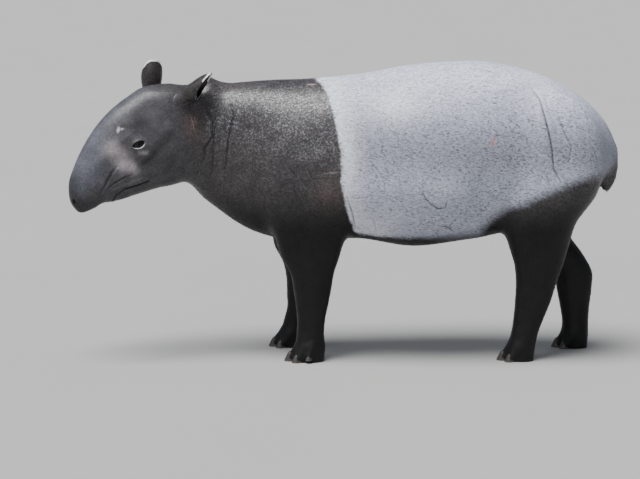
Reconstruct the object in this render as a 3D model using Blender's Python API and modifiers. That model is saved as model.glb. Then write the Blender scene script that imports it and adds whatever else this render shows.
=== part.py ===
"""Malayan tapir, adult, standing with its head turned a little to its left: a life-size museum model.

Metres, +Z up. The animal faces -X, its left side is -Y, and the origin is on the floor below the
middle of the body. The flesh is one blended form, parted by thin cuts into the pieces a person names.
"""

import math

import bmesh
import bpy
import numpy as np
from mathutils import Matrix, Vector

# Driving sizes
GAP = 0.0003  # left between two pieces that touch
CLAY_VOXEL = 0.0075  # grid on which the lumps of the body are fused
BODY_TRIANGLES = 4300  # of the body without the head, before it is parted
HEAD_TRIANGLES = 2900  # of the head and the front of the neck
HEAD_YAW = math.radians(23)  # how far the head is turned to the left
NECK_PIVOT_X = -0.50  # the head turns about the upright line through this place
EYE_RADIUS = 0.0190
EYE_PLACE = (0.247, 0.015)  # down the head's slope and out of it
EYE_SINK = 0.0105  # its centre lies this far inside the side of the head
LID_THICK = 0.0032
LID_OPENING = (0.0165, 0.0086)  # half width and half height between the lids
EAR_LENGTH = 0.144
EAR_THICK = 0.0045
EAR_DEPTH = 0.85  # depth of the cup against its width
EAR_BEND = 0.008  # how far the tip leans back
# The ear's radius along its length, and the height of its rim by degrees from the middle of its back
EAR_RADIUS = ((0, 0.023), (0.25, 0.034), (0.5, 0.040), (0.75, 0.038), (1, 0.024))
EAR_RIM = ((0, 1.0), (25, 0.98), (50, 0.90), (75, 0.75), (100, 0.57), (135, 0.42), (180, 0.34))
MOUTH_GROOVE = 0.0026

# The trunk from the neck to the rump: along X, then top, bottom, half width and height of the widest place
TRUNK = (
    (-0.64, 0.950, 0.700, 0.088, 0.84),
    (-0.50, 0.975, 0.568, 0.118, 0.80),
    (-0.40, 0.990, 0.498, 0.145, 0.75),
    (-0.28, 1.000, 0.440, 0.182, 0.69),
    (-0.12, 1.006, 0.420, 0.222, 0.65),
    (0.05, 1.022, 0.428, 0.250, 0.66),
    (0.25, 1.056, 0.401, 0.272, 0.67),
    (0.45, 1.069, 0.424, 0.270, 0.71),
    (0.62, 1.069, 0.444, 0.252, 0.735),
    (1.00, 1.068, 0.450, 0.240, 0.735),
)
TRUNK_ENDS = (-0.70, -0.60, 0.44, 0.984)  # tip, where rounding starts, and the same at the rump

# The head along its own slope, from the back of the skull to the tip of the long upper lip
HEAD_ORIGIN = (-0.60, 0.0, 0.95)
HEAD_SLOPE = math.radians(45)
HEAD = (
    (-0.06, -0.015, -0.150, 0.080, -0.05),
    (0.00, 0.058, -0.200, 0.090, -0.03),
    (0.07, 0.116, -0.225, 0.098, -0.03),
    (0.14, 0.137, -0.234, 0.102, -0.04),
    (0.23, 0.150, -0.220, 0.100, -0.04),
    (0.30, 0.147, -0.172, 0.090, -0.02),
    (0.37, 0.134, -0.130, 0.077, 0.00),
    (0.43, 0.116, -0.093, 0.065, 0.01),
    (0.49, 0.092, -0.060, 0.053, 0.01),
    (0.56, 0.070, -0.050, 0.046, -0.01),
)
HEAD_ENDS = (-0.12, -0.03, 0.47, 0.558)
# The line between the lips, from the corner of the mouth forward, and the crease above the upper lip
MOUTH = ((0.300, -0.116), (0.334, -0.0995), (0.362, -0.085), (0.387, -0.069), (0.423, -0.062), (0.452, -0.074))
LIP_CREASE = ((0.372, -0.040), (0.392, -0.027), (0.414, -0.021), (0.440, -0.019), (0.466, -0.020))

# Swellings and hollows of the body: middle, reach and height, the same on both sides
BODY_SWELLS = (
    ((-0.20, 0.19, 0.74), (0.11, 0.12, 0.17), 0.010),  # shoulder blade
    ((-0.07, 0.17, 0.52), (0.07, 0.09, 0.09), 0.012),  # back of the upper arm
    ((-0.35, 0.15, 0.74), (0.05, 0.10, 0.16), -0.010),  # in front of the shoulder
    ((-0.34, 0.00, 0.50), (0.08, 0.10, 0.07), 0.008),  # breast
    ((0.04, 0.22, 0.47), (0.05, 0.10, 0.11), -0.012),  # behind the elbow
    ((0.22, 0.26, 0.58), (0.20, 0.10, 0.14), 0.008),  # belly
    ((0.49, 0.25, 0.60), (0.05, 0.10, 0.11), -0.012),  # flank
    ((0.70, 0.20, 0.62), (0.12, 0.12, 0.16), 0.012),  # thigh
    ((0.62, 0.19, 0.48), (0.06, 0.08, 0.07), 0.006),  # knee
    ((0.57, 0.17, 0.99), (0.07, 0.07, 0.05), 0.006),  # hip
)
# And of the head, in its own frame
HEAD_SWELLS = (
    ((0.11, -0.13, 0.085), (0.07, 0.08, 0.05), 0.010),  # cheek
    ((0.19, -0.025, 0.095), (0.08, 0.022, 0.05), 0.006),  # cheekbone
    ((0.25, 0.062, 0.080), (0.035, 0.018, 0.03), 0.006),  # brow
    ((0.15, 0.060, 0.085), (0.05, 0.030, 0.04), -0.005),  # temple
    ((0.34, 0.030, 0.070), (0.05, 0.035, 0.04), -0.007),  # before the eye
    ((0.27, -0.075, 0.085), (0.04, 0.030, 0.04), -0.006),  # behind the mouth
    ((0.40, -0.042, 0.055), (0.04, 0.022, 0.03), 0.005),  # upper lip
    ((0.40, -0.098, 0.035), (0.04, 0.018, 0.03), 0.004),  # lower lip
    ((0.478, -0.072, 0.000), (0.022, 0.030, 0.06), -0.008),  # below the nose
)

# Forelegs by height: front, back, half width, how far out, and how far the right one stands ahead
FORELEG = (
    (0.00, -0.176, -0.070, 0.046, 0.145, 0.062),
    (0.05, -0.174, -0.066, 0.047, 0.145, 0.058),
    (0.10, -0.170, -0.070, 0.043, 0.144, 0.050),
    (0.15, -0.168, -0.066, 0.043, 0.143, 0.040),
    (0.20, -0.173, -0.056, 0.045, 0.142, 0.036),
    (0.26, -0.181, -0.044, 0.049, 0.141, 0.030),
    (0.32, -0.194, -0.034, 0.055, 0.140, 0.030),
    (0.38, -0.226, -0.014, 0.063, 0.138, 0.028),
    (0.45, -0.246, 0.004, 0.075, 0.134, 0.018),
    (0.55, -0.264, 0.008, 0.088, 0.128, 0.006),
    (0.68, -0.262, -0.010, 0.090, 0.118, 0.000),
)
FORELEG_ENDS = (-0.03, -0.01, 0.66, 0.86)
# Hind legs by height: front, back, half width, how far out, and how far the right one stands behind
HINDLEG = (
    (0.00, 0.590, 0.685, 0.047, 0.130, 0.222),
    (0.05, 0.590, 0.690, 0.048, 0.130, 0.220),
    (0.10, 0.602, 0.700, 0.043, 0.131, 0.210),
    (0.16, 0.610, 0.722, 0.041, 0.132, 0.192),
    (0.22, 0.614, 0.745, 0.043, 0.134, 0.176),
    (0.28, 0.616, 0.762, 0.048, 0.137, 0.160),
    (0.35, 0.610, 0.785, 0.060, 0.139, 0.100),
    (0.42, 0.590, 0.804, 0.077, 0.140, 0.032),
    (0.50, 0.575, 0.828, 0.097, 0.136, 0.002),
    (0.60, 0.575, 0.900, 0.108, 0.128, 0.000),
    (0.74, 0.600, 0.930, 0.110, 0.118, 0.000),
)
HINDLEG_ENDS = (-0.03, -0.01, 0.72, 0.95)

# Toes: forward of the middle of the foot, outward, turned outward in degrees, share of full size, lift
FORE_TOES = (
    (0.043, -0.037, -20, 0.84, 0.0),
    (0.066, 0.000, 0, 1.00, 0.0),
    (0.043, 0.037, 20, 0.84, 0.0),
    (0.000, 0.053, 62, 0.62, 0.010),
)
HIND_TOES = (
    (0.040, -0.036, -20, 0.84, 0.0),
    (0.062, 0.000, 0, 1.00, 0.0),
    (0.040, 0.036, 20, 0.84, 0.0),
)
HOOF_SIZE = (0.023, 0.0185, 0.040)  # half length, half width and height of the largest
FORE_FOOT_X = -0.126
HIND_FOOT_X = 0.635
ANKLE = 0.088  # the feet are parted from the legs at this height

# The tail: places and radius
TAIL = (
    ((0.910, 0.0, 0.790), 0.034),
    ((0.955, 0.0, 0.745), 0.034),
    ((0.966, 0.0, 0.690), 0.029),
    ((0.963, 0.0, 0.645), 0.024),
    ((0.952, 0.0, 0.613), 0.018),
)

# Ears: root in the head's frame, then the direction to the tip and the way the cup opens, in the room
EARS = {
    "left": ((0.018, 0.010, -0.090), (0.865, -0.15, 0.48), (0.47, -0.15, -0.87)),
    "right": ((0.063, 0.044, 0.085), (0.01, 0.13, 0.98), (-0.40, 0.92, 0.00)),
}


def spline(stations, values):
    """A smooth curve through the stations, level beyond both ends."""
    x = np.asarray(stations, float)
    y = np.asarray(values, float)
    slope = np.gradient(y, x)
    slope[0] = slope[-1] = 0.0

    def at(s):
        s = np.clip(s, x[0], x[-1])
        i = np.clip(np.searchsorted(x, s) - 1, 0, len(x) - 2)
        width = x[i + 1] - x[i]
        t = (s - x[i]) / width
        start = (1 + 2 * t) * (1 - t) ** 2 * y[i] + t * (1 - t) ** 2 * width * slope[i]
        end = t * t * (3 - 2 * t) * y[i + 1] + t * t * (t - 1) * width * slope[i + 1]
        return start + end

    return at


def unit(vector):
    vector = np.asarray(vector, float)
    return vector / np.linalg.norm(vector)


class Loft:
    """A lump of the body: superellipse sections along a straight axis, rounded off at both ends.

    A row of the table is the place along the axis, then top, bottom, half width, height of the
    widest place and sideways shift of the section. The axes are along, up and across.
    """

    def __init__(self, rows, ends, origin, axes, powers, end_power=2.0):
        table = np.array(rows, float).T
        self.curves = [spline(table[0], column) for column in table[1:]]
        self.low_tip, self.low, self.high, self.high_tip = ends
        self.origin = np.array(origin, float)
        self.axes = np.array(axes, float)
        self.powers = powers
        self.end_power = end_power

    def end_share(self, s):
        over = np.maximum(s - self.high, 0) / (self.high_tip - self.high)
        return over + np.maximum(self.low - s, 0) / (self.low - self.low_tip)

    def field(self, points):
        """Roughly the distance from the lump's surface, below zero inside."""
        s, n, y = ((points - self.origin) @ self.axes.T).T
        top, bottom, half, widest, side = (curve(s) for curve in self.curves)
        run = np.maximum(s - self.high, 0) + np.maximum(self.low - s, 0)
        rise = n - widest
        v = np.abs(rise) / np.where(rise > 0, top - widest, widest - bottom)
        u = np.abs(y - side) / half
        p = np.where(rise > 0, *self.powers)
        ring = (u**p + v**p) ** (1 / p)
        q = self.end_power
        rho = (ring**q + self.end_share(s) ** q) ** (1 / q) + 1e-6
        reach = np.sqrt(rise**2 + (y - side) ** 2 + run**2)
        return (rho - 1) * reach / rho

    def mesh_into(self, bm, rings=40, sides=28):
        """The lump's own rough surface, as rings from tip to tip."""
        turn = np.linspace(0, math.pi, rings)
        middle = (self.low_tip + self.high_tip) / 2
        s = middle - np.cos(turn) * (self.high_tip - self.low_tip) / 2 * 0.999
        scale = (1 - self.end_share(s) ** self.end_power) ** (1 / self.end_power)
        top, bottom, half, widest, side = (curve(s) for curve in self.curves)
        angle = np.linspace(0, 2 * math.pi, sides, endpoint=False)
        c, d = np.cos(angle), np.sin(angle)
        height = np.where(d > 0, (top - widest)[:, None], (widest - bottom)[:, None])
        n = widest[:, None] + scale[:, None] * height * d
        y = side[:, None] + scale[:, None] * half[:, None] * c
        local = np.stack([np.repeat(s[:, None], sides, 1), n, y], -1)
        places = local @ self.axes + self.origin
        grid = [[bm.verts.new(place) for place in ring] for ring in places]
        for a, b in zip(grid, grid[1:]):
            for i in range(sides):
                j = (i + 1) % sides
                bm.faces.new((a[i], a[j], b[j], b[i]))
        bm.faces.new(grid[0][::-1])
        bm.faces.new(grid[-1])


class Limb:
    """A round limb along straight pieces, each with a radius at both ends."""

    def __init__(self, stations):
        self.points = np.array([place for place, _ in stations], float)
        self.radii = np.array([radius for _, radius in stations], float)

    def field(self, points):
        best = np.full(len(points), np.inf)
        for a, b, ra, rb in zip(self.points, self.points[1:], self.radii, self.radii[1:]):
            along = b - a
            t = np.clip((points - a) @ along / (along @ along), 0, 1)
            off = np.linalg.norm(points - a - t[:, None] * along, axis=1)
            best = np.minimum(best, off - ra - t * (rb - ra))
        return best

    def mesh_into(self, bm):
        for a, b, ra, rb in zip(self.points, self.points[1:], self.radii, self.radii[1:]):
            for t in (0, 0.5, 1):
                place = Matrix.Translation(a + t * (b - a))
                radius = ra + t * (rb - ra)
                bmesh.ops.create_icosphere(bm, subdivisions=2, radius=radius, matrix=place)


def yaw():
    return np.array(Matrix.Rotation(HEAD_YAW, 3, "Z"))


def head_axes():
    """Rows: down the head's slope, out of its forehead, and across it to the right."""
    c, s = math.cos(HEAD_SLOPE), math.sin(HEAD_SLOPE)
    return np.array([(-c, 0, -s), (-s, 0, c), (0, 1, 0)]) @ yaw().T


def head_origin():
    pivot = np.array([NECK_PIVOT_X, 0, 0])
    return (np.array(HEAD_ORIGIN) - pivot) @ yaw().T + pivot


def head_place(places):
    """Points of the head's own frame in the room."""
    return np.asarray(places, float) @ head_axes() + head_origin()


def smooth_min(a, b, radius):
    """The lower of two fields, with a fillet of about that radius where they meet."""
    h = np.maximum(radius - np.abs(a - b), 0) / radius
    return np.minimum(a, b) - h * h * radius / 4


def leg_loft(rows, ends, side, share):
    """A leg as level sections. share is how much of the last column moves it along X."""
    table = []
    for height, front, back, half, out, stride in rows:
        move = share * stride
        middle = (front + back) / 2 + move
        table.append((height, back + move, front + move, half, middle, side * out))
    return Loft(table, ends, (0, 0, 0), [(0, 0, 1), (1, 0, 0), (0, 1, 0)], (2.3, 2.3))


def foot_shift(rows, side, share):
    """Where the middle of the foot moves to, along X and Y."""
    return share * rows[0][5], side * rows[0][4]


def toe_frame(toe, foot_x, shift, side):
    """Origin of a toe on the floor and the directions forward and outward, level."""
    forward, out, turn, size, lift = toe
    angle = math.radians(turn)
    ahead = np.array([-math.cos(angle), side * math.sin(angle), 0])
    across = np.array([math.sin(angle), side * math.cos(angle), 0])
    origin = np.array([foot_x + shift[0] - forward, shift[1] + side * out, lift])
    return origin, ahead, across, size


def all_toes():
    """Every toe: the foot it is on, its number from the inside, and its frame."""
    for name, side, share in (("left", -1, 0.0), ("right", 1, -1.0)):
        shift = foot_shift(FORELEG, side, share)
        for number, toe in enumerate(FORE_TOES, 1):
            yield f"fore_{name}_{number}", toe_frame(toe, FORE_FOOT_X, shift, side)
    for name, side, share in (("left", -1, 0.0), ("right", 1, 1.0)):
        shift = foot_shift(HINDLEG, side, share)
        for number, toe in enumerate(HIND_TOES, 1):
            yield f"hind_{name}_{number}", toe_frame(toe, HIND_FOOT_X, shift, side)


def make_lumps():
    """Each lump of the body with the radius of the fillet that joins it to those before."""
    axes = [(1, 0, 0), (0, 0, 1), (0, 1, 0)]
    trunk = [(*row, 0.0) for row in TRUNK]
    head = [(*row, 0.0) for row in HEAD]
    lumps = [(Loft(trunk, TRUNK_ENDS, (0, 0, 0), axes, (2.1, 2.2), 1.88), 0)]
    lumps.append((Loft(head, HEAD_ENDS, head_origin(), head_axes(), (1.9, 2.2), 2.2), 0.07))
    for side, share in ((-1, 0.0), (1, -1.0)):
        lumps.append((leg_loft(FORELEG, FORELEG_ENDS, side, share), 0.05))
    for side, share in ((-1, 0.0), (1, 1.0)):
        lumps.append((leg_loft(HINDLEG, HINDLEG_ENDS, side, share), 0.06))
    for _, (origin, ahead, across, size) in all_toes():
        root = origin - ahead * 0.040 * size + (0, 0, 0.050)
        tip = origin - ahead * 0.004 * size + (0, 0, 0.012)
        lumps.append((Limb(((root, 0.024 * size), (tip, 0.019 * size))), 0.016))
    for side in (-1, 1):
        centre = eye_centre(side, lumps[1][0].field)
        ball = Limb(((centre, EYE_RADIUS + LID_THICK), (centre + 1e-5, EYE_RADIUS + LID_THICK)))
        lumps.append((ball, 0.022))
    return lumps


def swell(points, swells):
    """How far the swellings lift the surface at each point."""
    total = np.zeros(len(points))
    mirrored = points * (1, -1, 1)
    for centre, radii, height in swells:
        for side in (points, mirrored) if centre[1] > 0 else (points,):
            total += height * np.exp(-(((side - centre) / radii) ** 2).sum(1))
    return total


def body_field(lumps, points):
    """The whole animal without ears and tail."""
    total = lumps[0][0].field(points)
    for lump, radius in lumps[1:]:
        total = smooth_min(total, lump.field(points), radius)
    local = (points - head_origin()) @ head_axes().T
    on_head = [((s, y, n), (rs, ry, rn), h) for (s, n, y), (rs, rn, ry), h in HEAD_SWELLS]
    total -= swell(points, BODY_SWELLS) + swell(local[:, (0, 2, 1)], on_head)
    return total


def side_of_head(field, s, n, side):
    """How far across the head its surface is at a place of its side view."""
    low, high = 0.0, 0.16
    for _ in range(24):
        middle = (low + high) / 2
        inside = field(head_place([(s, n, side * middle)]))[0] < 0
        low, high = (middle, high) if inside else (low, middle)
    return side * low


def eye_centre(side, field):
    across = side_of_head(field, *EYE_PLACE, side)
    return head_place((*EYE_PLACE, across - side * EYE_SINK))


def settle(points, field, rounds=6, step=0.0005, limit=0.006):
    """Moves points along the field's slope until they lie where it is zero."""
    for _ in range(rounds):
        value = field(points)
        slope = [(field(points + step * axis) - value) / step for axis in np.eye(3)]
        slope = np.stack(slope, -1)
        move = -(value / np.maximum((slope**2).sum(1), 0.05))[:, None] * slope
        length = np.linalg.norm(move, axis=1, keepdims=True)
        points = points + move * np.minimum(1, limit / np.maximum(length, 1e-9))
    return points


def add_object(name, mesh, collection):
    obj = bpy.data.objects.new(name, mesh)
    collection.objects.link(obj)
    return obj


def add_bmesh(name, bm, collection):
    bmesh.ops.recalc_face_normals(bm, faces=bm.faces)
    mesh = bpy.data.meshes.new(name)
    bm.to_mesh(mesh)
    bm.free()
    return add_object(name, mesh, collection)


def bake(obj):
    """Replaces the object's mesh by what its modifiers make of it."""
    graph = bpy.context.evaluated_depsgraph_get()
    mesh = bpy.data.meshes.new_from_object(obj.evaluated_get(graph))
    obj.modifiers.clear()
    obj.data = mesh


def get_points(mesh):
    points = np.empty(len(mesh.vertices) * 3)
    mesh.vertices.foreach_get("co", points)
    return points.reshape(-1, 3)


def set_points(mesh, points):
    mesh.vertices.foreach_set("co", points.ravel())
    mesh.update()


def thin_out(obj, ratio, inside, name):
    """Collapses edges among the vertices that are inside, down to a share of the triangles."""
    group = obj.vertex_groups.new(name=name)
    group.add([int(i) for i in np.flatnonzero(inside)], 1.0, "REPLACE")
    thin = obj.modifiers.new(name, "DECIMATE")
    thin.ratio = ratio
    thin.vertex_group = name
    thin.use_collapse_triangulate = True
    bake(obj)


def make_flesh(collection):
    """Body, neck, head and legs as one smooth closed surface, flat where it stands on the floor."""
    lumps = make_lumps()

    def field(points):
        return body_field(lumps, points)

    bm = bmesh.new()
    for lump, _ in lumps:
        lump.mesh_into(bm)
    flesh = add_bmesh("flesh", bm, collection)
    fuse = flesh.modifiers.new("fuse", "REMESH")
    fuse.mode = "VOXEL"
    fuse.voxel_size = CLAY_VOXEL
    bake(flesh)
    set_points(flesh.data, settle(get_points(flesh.data), field))
    for name, wanted, low, high in (("body", BODY_TRIANGLES, -0.47, 9), ("head", HEAD_TRIANGLES, -9, -0.47)):
        x = get_points(flesh.data)[:, 0]
        inside = (x > low) & (x < high) & ~near_eye(get_points(flesh.data), lumps)
        other = 2 * int((~inside).sum())
        ratio = (wanted + other) / (2 * len(x))
        thin_out(flesh, ratio, inside, name)
    set_points(flesh.data, settle(get_points(flesh.data), field, 3))
    stand(flesh)
    return flesh, field


def near_eye(points, lumps):
    """The vertices around both eyes, which stay close together."""
    centres = [eye_centre(side, lumps[1][0].field) for side in (-1, 1)]
    return np.min([np.linalg.norm(points - centre, axis=1) for centre in centres], axis=0) < 0.034


def stand(obj):
    """Cuts the soles flat at the floor."""
    bm = bmesh.new()
    bm.from_mesh(obj.data)
    geometry = bm.verts[:] + bm.edges[:] + bm.faces[:]
    bmesh.ops.bisect_plane(
        bm, geom=geometry, dist=1e-5, plane_co=(0, 0, 0), plane_no=(0, 0, -1), clear_outer=True
    )
    rim = [edge for edge in bm.edges if edge.is_boundary]
    bmesh.ops.holes_fill(bm, edges=rim, sides=0)
    bmesh.ops.triangulate(bm, faces=[face for face in bm.faces if len(face.verts) > 3])
    bm.to_mesh(obj.data)
    bm.free()


def boolean(obj, other, operation="DIFFERENCE"):
    """Cuts or joins at once, and keeps the largest closed piece only when asked later."""
    change = obj.modifiers.new(other.name, "BOOLEAN")
    change.operation = operation
    change.solver = "EXACT"
    change.object = other
    bake(obj)


def hide(obj):
    obj.hide_render = True
    obj.display_type = "WIRE"


def islands(obj):
    """The loose closed surfaces of an object, largest first, each as a list of face numbers."""
    bm = bmesh.new()
    bm.from_mesh(obj.data)
    left = set(bm.faces)
    found = []
    while left:
        stack = [left.pop()]
        piece = []
        while stack:
            face = stack.pop()
            piece.append(face.index)
            for edge in face.edges:
                for near in edge.link_faces:
                    if near in left:
                        left.remove(near)
                        stack.append(near)
        found.append(piece)
    bm.free()
    return sorted(found, key=len, reverse=True)


def take_faces(obj, faces, name, collection):
    """A new object of some faces of another."""
    bm = bmesh.new()
    bm.from_mesh(obj.data)
    wanted = set(faces)
    drop = [face for face in bm.faces if face.index not in wanted]
    bmesh.ops.delete(bm, geom=drop, context="FACES")
    mesh = bpy.data.meshes.new(name)
    bm.to_mesh(mesh)
    bm.free()
    return add_object(name, mesh, collection)


def keep_largest(obj):
    pieces = islands(obj)
    if len(pieces) > 1:
        bm = bmesh.new()
        bm.from_mesh(obj.data)
        wanted = set(pieces[0])
        drop = [face for face in bm.faces if face.index not in wanted]
        bmesh.ops.delete(bm, geom=drop, context="FACES")
        bm.to_mesh(obj.data)
        bm.free()


def make_slab(bm, centre, normal, across, size, thick=GAP):
    """A thin plate that parts two pieces: across is one edge's direction, size its two lengths."""
    w = Vector(unit(normal))
    u = Vector(across)
    u = (u - u.dot(w) * w).normalized()
    v = w.cross(u)
    turn = Matrix((u, v, w)).transposed().to_4x4()
    turn.translation = centre
    stretch = Matrix.Diagonal((*size, thick, 1))
    bmesh.ops.create_cube(bm, size=1, matrix=turn @ stretch)


def make_partings(collection):
    """Every thin plate in one object. None of them meets another."""
    bm = bmesh.new()
    half = yaw_half()
    make_slab(bm, (-0.535, -0.01, 0.78), half @ (1, 0, -0.12), (0, 1, 0), (0.5, 0.62))
    make_slab(bm, (-0.335, 0, 0.72), (1, 0, 0.10), (0, 1, 0), (0.6, 0.9))
    nose = head_place((0.456, 0.02, 0))
    make_slab(bm, nose, head_axes()[0] + 0.10 * head_axes()[1], head_axes()[2], (0.26, 0.30))
    for side, share in ((-1, 0.0), (1, -1.0)):
        ahead, out = foot_shift(FORELEG, side, share)
        make_slab(bm, (-0.12, side * 0.17, 0.398), (0, 0, 1), (1, 0, 0), (0.40, 0.33))
        make_slab(bm, (FORE_FOOT_X + ahead, out, ANKLE), (0, 0, 1), (1, 0, 0), (0.26, 0.20))
    for side, share in ((-1, 0.0), (1, 1.0)):
        ahead, out = foot_shift(HINDLEG, side, share)
        make_slab(bm, (0.74, side * 0.17, 0.408), (0, 0, 1), (1, 0, 0), (0.48, 0.33))
        make_slab(bm, (HIND_FOOT_X + ahead, out, ANKLE), (0, 0, 1), (1, 0, 0), (0.26, 0.20))
    cutter = add_bmesh("partings", bm, collection)
    hide(cutter)
    return cutter


def yaw_half():
    return np.array(Matrix.Rotation(HEAD_YAW / 2, 3, "Z"))


def make_tube(name, places, radii, collection):
    """A round bar through the places, for a groove."""
    curve = bpy.data.curves.new(name, "CURVE")
    curve.dimensions = "3D"
    curve.bevel_depth = 1.0
    curve.bevel_resolution = 0
    curve.use_fill_caps = True
    line = curve.splines.new("POLY")
    line.points.add(len(places) - 1)
    for point, place, radius in zip(line.points, places, radii):
        point.co = (*place, 1)
        point.radius = radius
    source = bpy.data.objects.new(name + "_line", curve)
    collection.objects.link(source)
    graph = bpy.context.evaluated_depsgraph_get()
    mesh = bpy.data.meshes.new_from_object(source.evaluated_get(graph))
    bpy.data.objects.remove(source)
    bm = bmesh.new()
    bm.from_mesh(mesh)
    bmesh.ops.remove_doubles(bm, verts=bm.verts, dist=1e-6)
    tube = add_bmesh(name, bm, collection)
    hide(tube)
    return tube


def groove_path(line, side, field, steps=11):
    """The places of a line of the head's side view on its surface, even from end to end."""
    table = np.array(line)
    at = np.linspace(table[0, 0], table[-1, 0], steps)
    n = spline(table[:, 0], table[:, 1])(at)
    rows = [(s, m, side_of_head(field, s, m, side)) for s, m in zip(at, n)]
    return head_place(rows)


def make_eye(name, centre, collection, grow=0.0):
    bm = bmesh.new()
    place = Matrix.Translation(centre)
    bmesh.ops.create_uvsphere(
        bm, u_segments=16, v_segments=9, radius=EYE_RADIUS + grow, matrix=place
    )
    return add_bmesh(name, bm, collection)


def make_lid_opening(name, centre, side, collection):
    """An almond-shaped bar from the eyeball outward, that opens the lids."""
    half_width, half_height = LID_OPENING
    along = unit(head_axes()[0] * 0.89 + head_axes()[1] * 0.45)
    outward = unit(head_axes()[2] * side)
    up = unit(np.cross(along, outward) * side)
    turn = np.linspace(0, 2 * math.pi, 18, endpoint=False)
    ring = half_width * np.cos(turn)[:, None] * along
    ring = ring + half_height * (np.sin(turn) * np.abs(np.sin(turn)) ** 0.35)[:, None] * up
    bm = bmesh.new()
    rows = []
    for reach, scale in ((0.006, 0.95), (0.040, 1.15)):
        rows.append([bm.verts.new(centre + outward * reach + scale * place) for place in ring])
    for i in range(len(ring)):
        j = (i + 1) % len(ring)
        bm.faces.new((rows[0][i], rows[0][j], rows[1][j], rows[1][i]))
    bm.faces.new(rows[0][::-1])
    bm.faces.new(rows[1])
    opening = add_bmesh(name, bm, collection)
    hide(opening)
    return opening


def make_ear(name, place, collection, grow=0.0):
    """A cup cut off at a slant: its back rises to the tip and its front edge is low, above a round root."""
    root, towards, opens = place
    base = head_place(root)
    along = unit(towards)
    front = unit(np.array(opens) - np.dot(opens, along) * along)
    across = np.cross(along, front)
    turn = np.linspace(0, 2 * math.pi, 20, endpoint=False)
    from_back = np.degrees(np.minimum(turn, 2 * math.pi - turn))
    rim = EAR_LENGTH * spline(*zip(*EAR_RIM))(from_back)
    radius = spline(*zip(*EAR_RADIUS))
    rows = []
    for depth, share in ((0.030, 0.35), (0.026, 0.75), (0.014, 0.97)):
        rows.append((np.full(20, -depth - grow), radius(0) * share + grow))
    for share in (0, 0.25, 0.5, 0.72, 0.88, 0.97, 1):
        height = share * rim + (grow if share == 1 else 0)
        rows.append((height, radius(height / EAR_LENGTH) + grow))
    for share in (1, 0.94, 0.75, 0.5, 0.28):
        height = share * rim + (grow if share == 1 else 0)
        rows.append((height, radius(height / EAR_LENGTH) - EAR_THICK - grow))
    rows.append((np.full(20, 0.016), radius(0.1) * 0.35))
    bm = bmesh.new()
    rings = []
    for height, reach in rows:
        bend = -EAR_BEND * (height / EAR_LENGTH) ** 2
        ring = base + height[:, None] * along + (reach * np.sin(turn))[:, None] * across
        ring = ring + (bend - EAR_DEPTH * reach * np.cos(turn))[:, None] * front
        rings.append([bm.verts.new(vert) for vert in ring])
    for a, b in zip(rings, rings[1:]):
        for i in range(20):
            j = (i + 1) % 20
            bm.faces.new((a[i], a[j], b[j], b[i]))
    bm.faces.new(rings[0][::-1])
    bm.faces.new(rings[-1])
    bmesh.ops.triangulate(bm, faces=bm.faces)
    return add_bmesh(name, bm, collection)


def make_hoof(name, frame, collection, grow=0.0):
    """A toe's horn: level and round below, narrower and slanted back above."""
    origin, ahead, across, size = frame
    long, wide, tall = (size * value for value in HOOF_SIZE)
    turn = np.linspace(0, 2 * math.pi, 12, endpoint=False)
    bm = bmesh.new()
    rings = []
    for share in (0, 0.45, 0.85, 1):
        narrow = 1 - 0.30 * share**1.5
        x = (long * narrow + grow) * np.sign(np.cos(turn)) * np.abs(np.cos(turn)) ** 0.85
        y = (wide * narrow + grow) * np.sign(np.sin(turn)) * np.abs(np.sin(turn)) ** 0.85
        height = share * tall * (0.74 + 0.26 * x / long)
        x = x - share * tall * 0.30
        lowest = -0.002 if grow else 0.0
        z = np.maximum(height + (grow if share == 1 else 0), lowest if share == 0 else 0)
        z = z + (lowest if share == 0 else 0)
        ring = origin + x[:, None] * ahead + y[:, None] * across + z[:, None] * np.array([0, 0, 1])
        rings.append([bm.verts.new(place) for place in ring])
    for a, b in zip(rings, rings[1:]):
        for i in range(len(turn)):
            j = (i + 1) % len(turn)
            bm.faces.new((a[i], a[j], b[j], b[i]))
    bm.faces.new(rings[0][::-1])
    bm.faces.new(rings[-1])
    return add_bmesh(name, bm, collection)


def make_tail(name, collection, grow=0.0):
    """A short tapering tail that hangs on the rump."""
    bm = bmesh.new()
    places = np.array([place for place, _ in TAIL])
    radii = np.array([radius for _, radius in TAIL])
    at = np.linspace(0, 1, len(TAIL))
    fine = np.linspace(0, 1, 9)
    line = np.stack([spline(at, places[:, k])(fine) for k in range(3)], -1)
    thick = spline(at, radii)(fine)
    turn = np.linspace(0, 2 * math.pi, 14, endpoint=False)
    rings = []
    for i, (place, radius) in enumerate(zip(line, thick)):
        along = unit(line[min(i + 1, 8)] - line[max(i - 1, 0)])
        side = np.array([0, 1, 0])
        up = np.cross(along, side)
        for share in ((1.0,) if i < 8 else (1.0, 0.8, 0.4)):
            push = along * (radius * math.sqrt(1 - share**2) - (grow if i == 0 else 0))
            push = push + along * (grow if share < 1 else 0)
            ring = place + push + (share * radius + grow) * (
                np.cos(turn)[:, None] * side + np.sin(turn)[:, None] * up
            )
            rings.append([bm.verts.new(vert) for vert in ring])
    for a, b in zip(rings, rings[1:]):
        for i in range(len(turn)):
            j = (i + 1) % len(turn)
            bm.faces.new((a[i], a[j], b[j], b[i]))
    bm.faces.new(rings[0][::-1])
    bm.faces.new(rings[-1])
    return add_bmesh(name, bm, collection)


def carve(flesh, cutter):
    boolean(flesh, cutter)
    hide(cutter)


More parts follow.
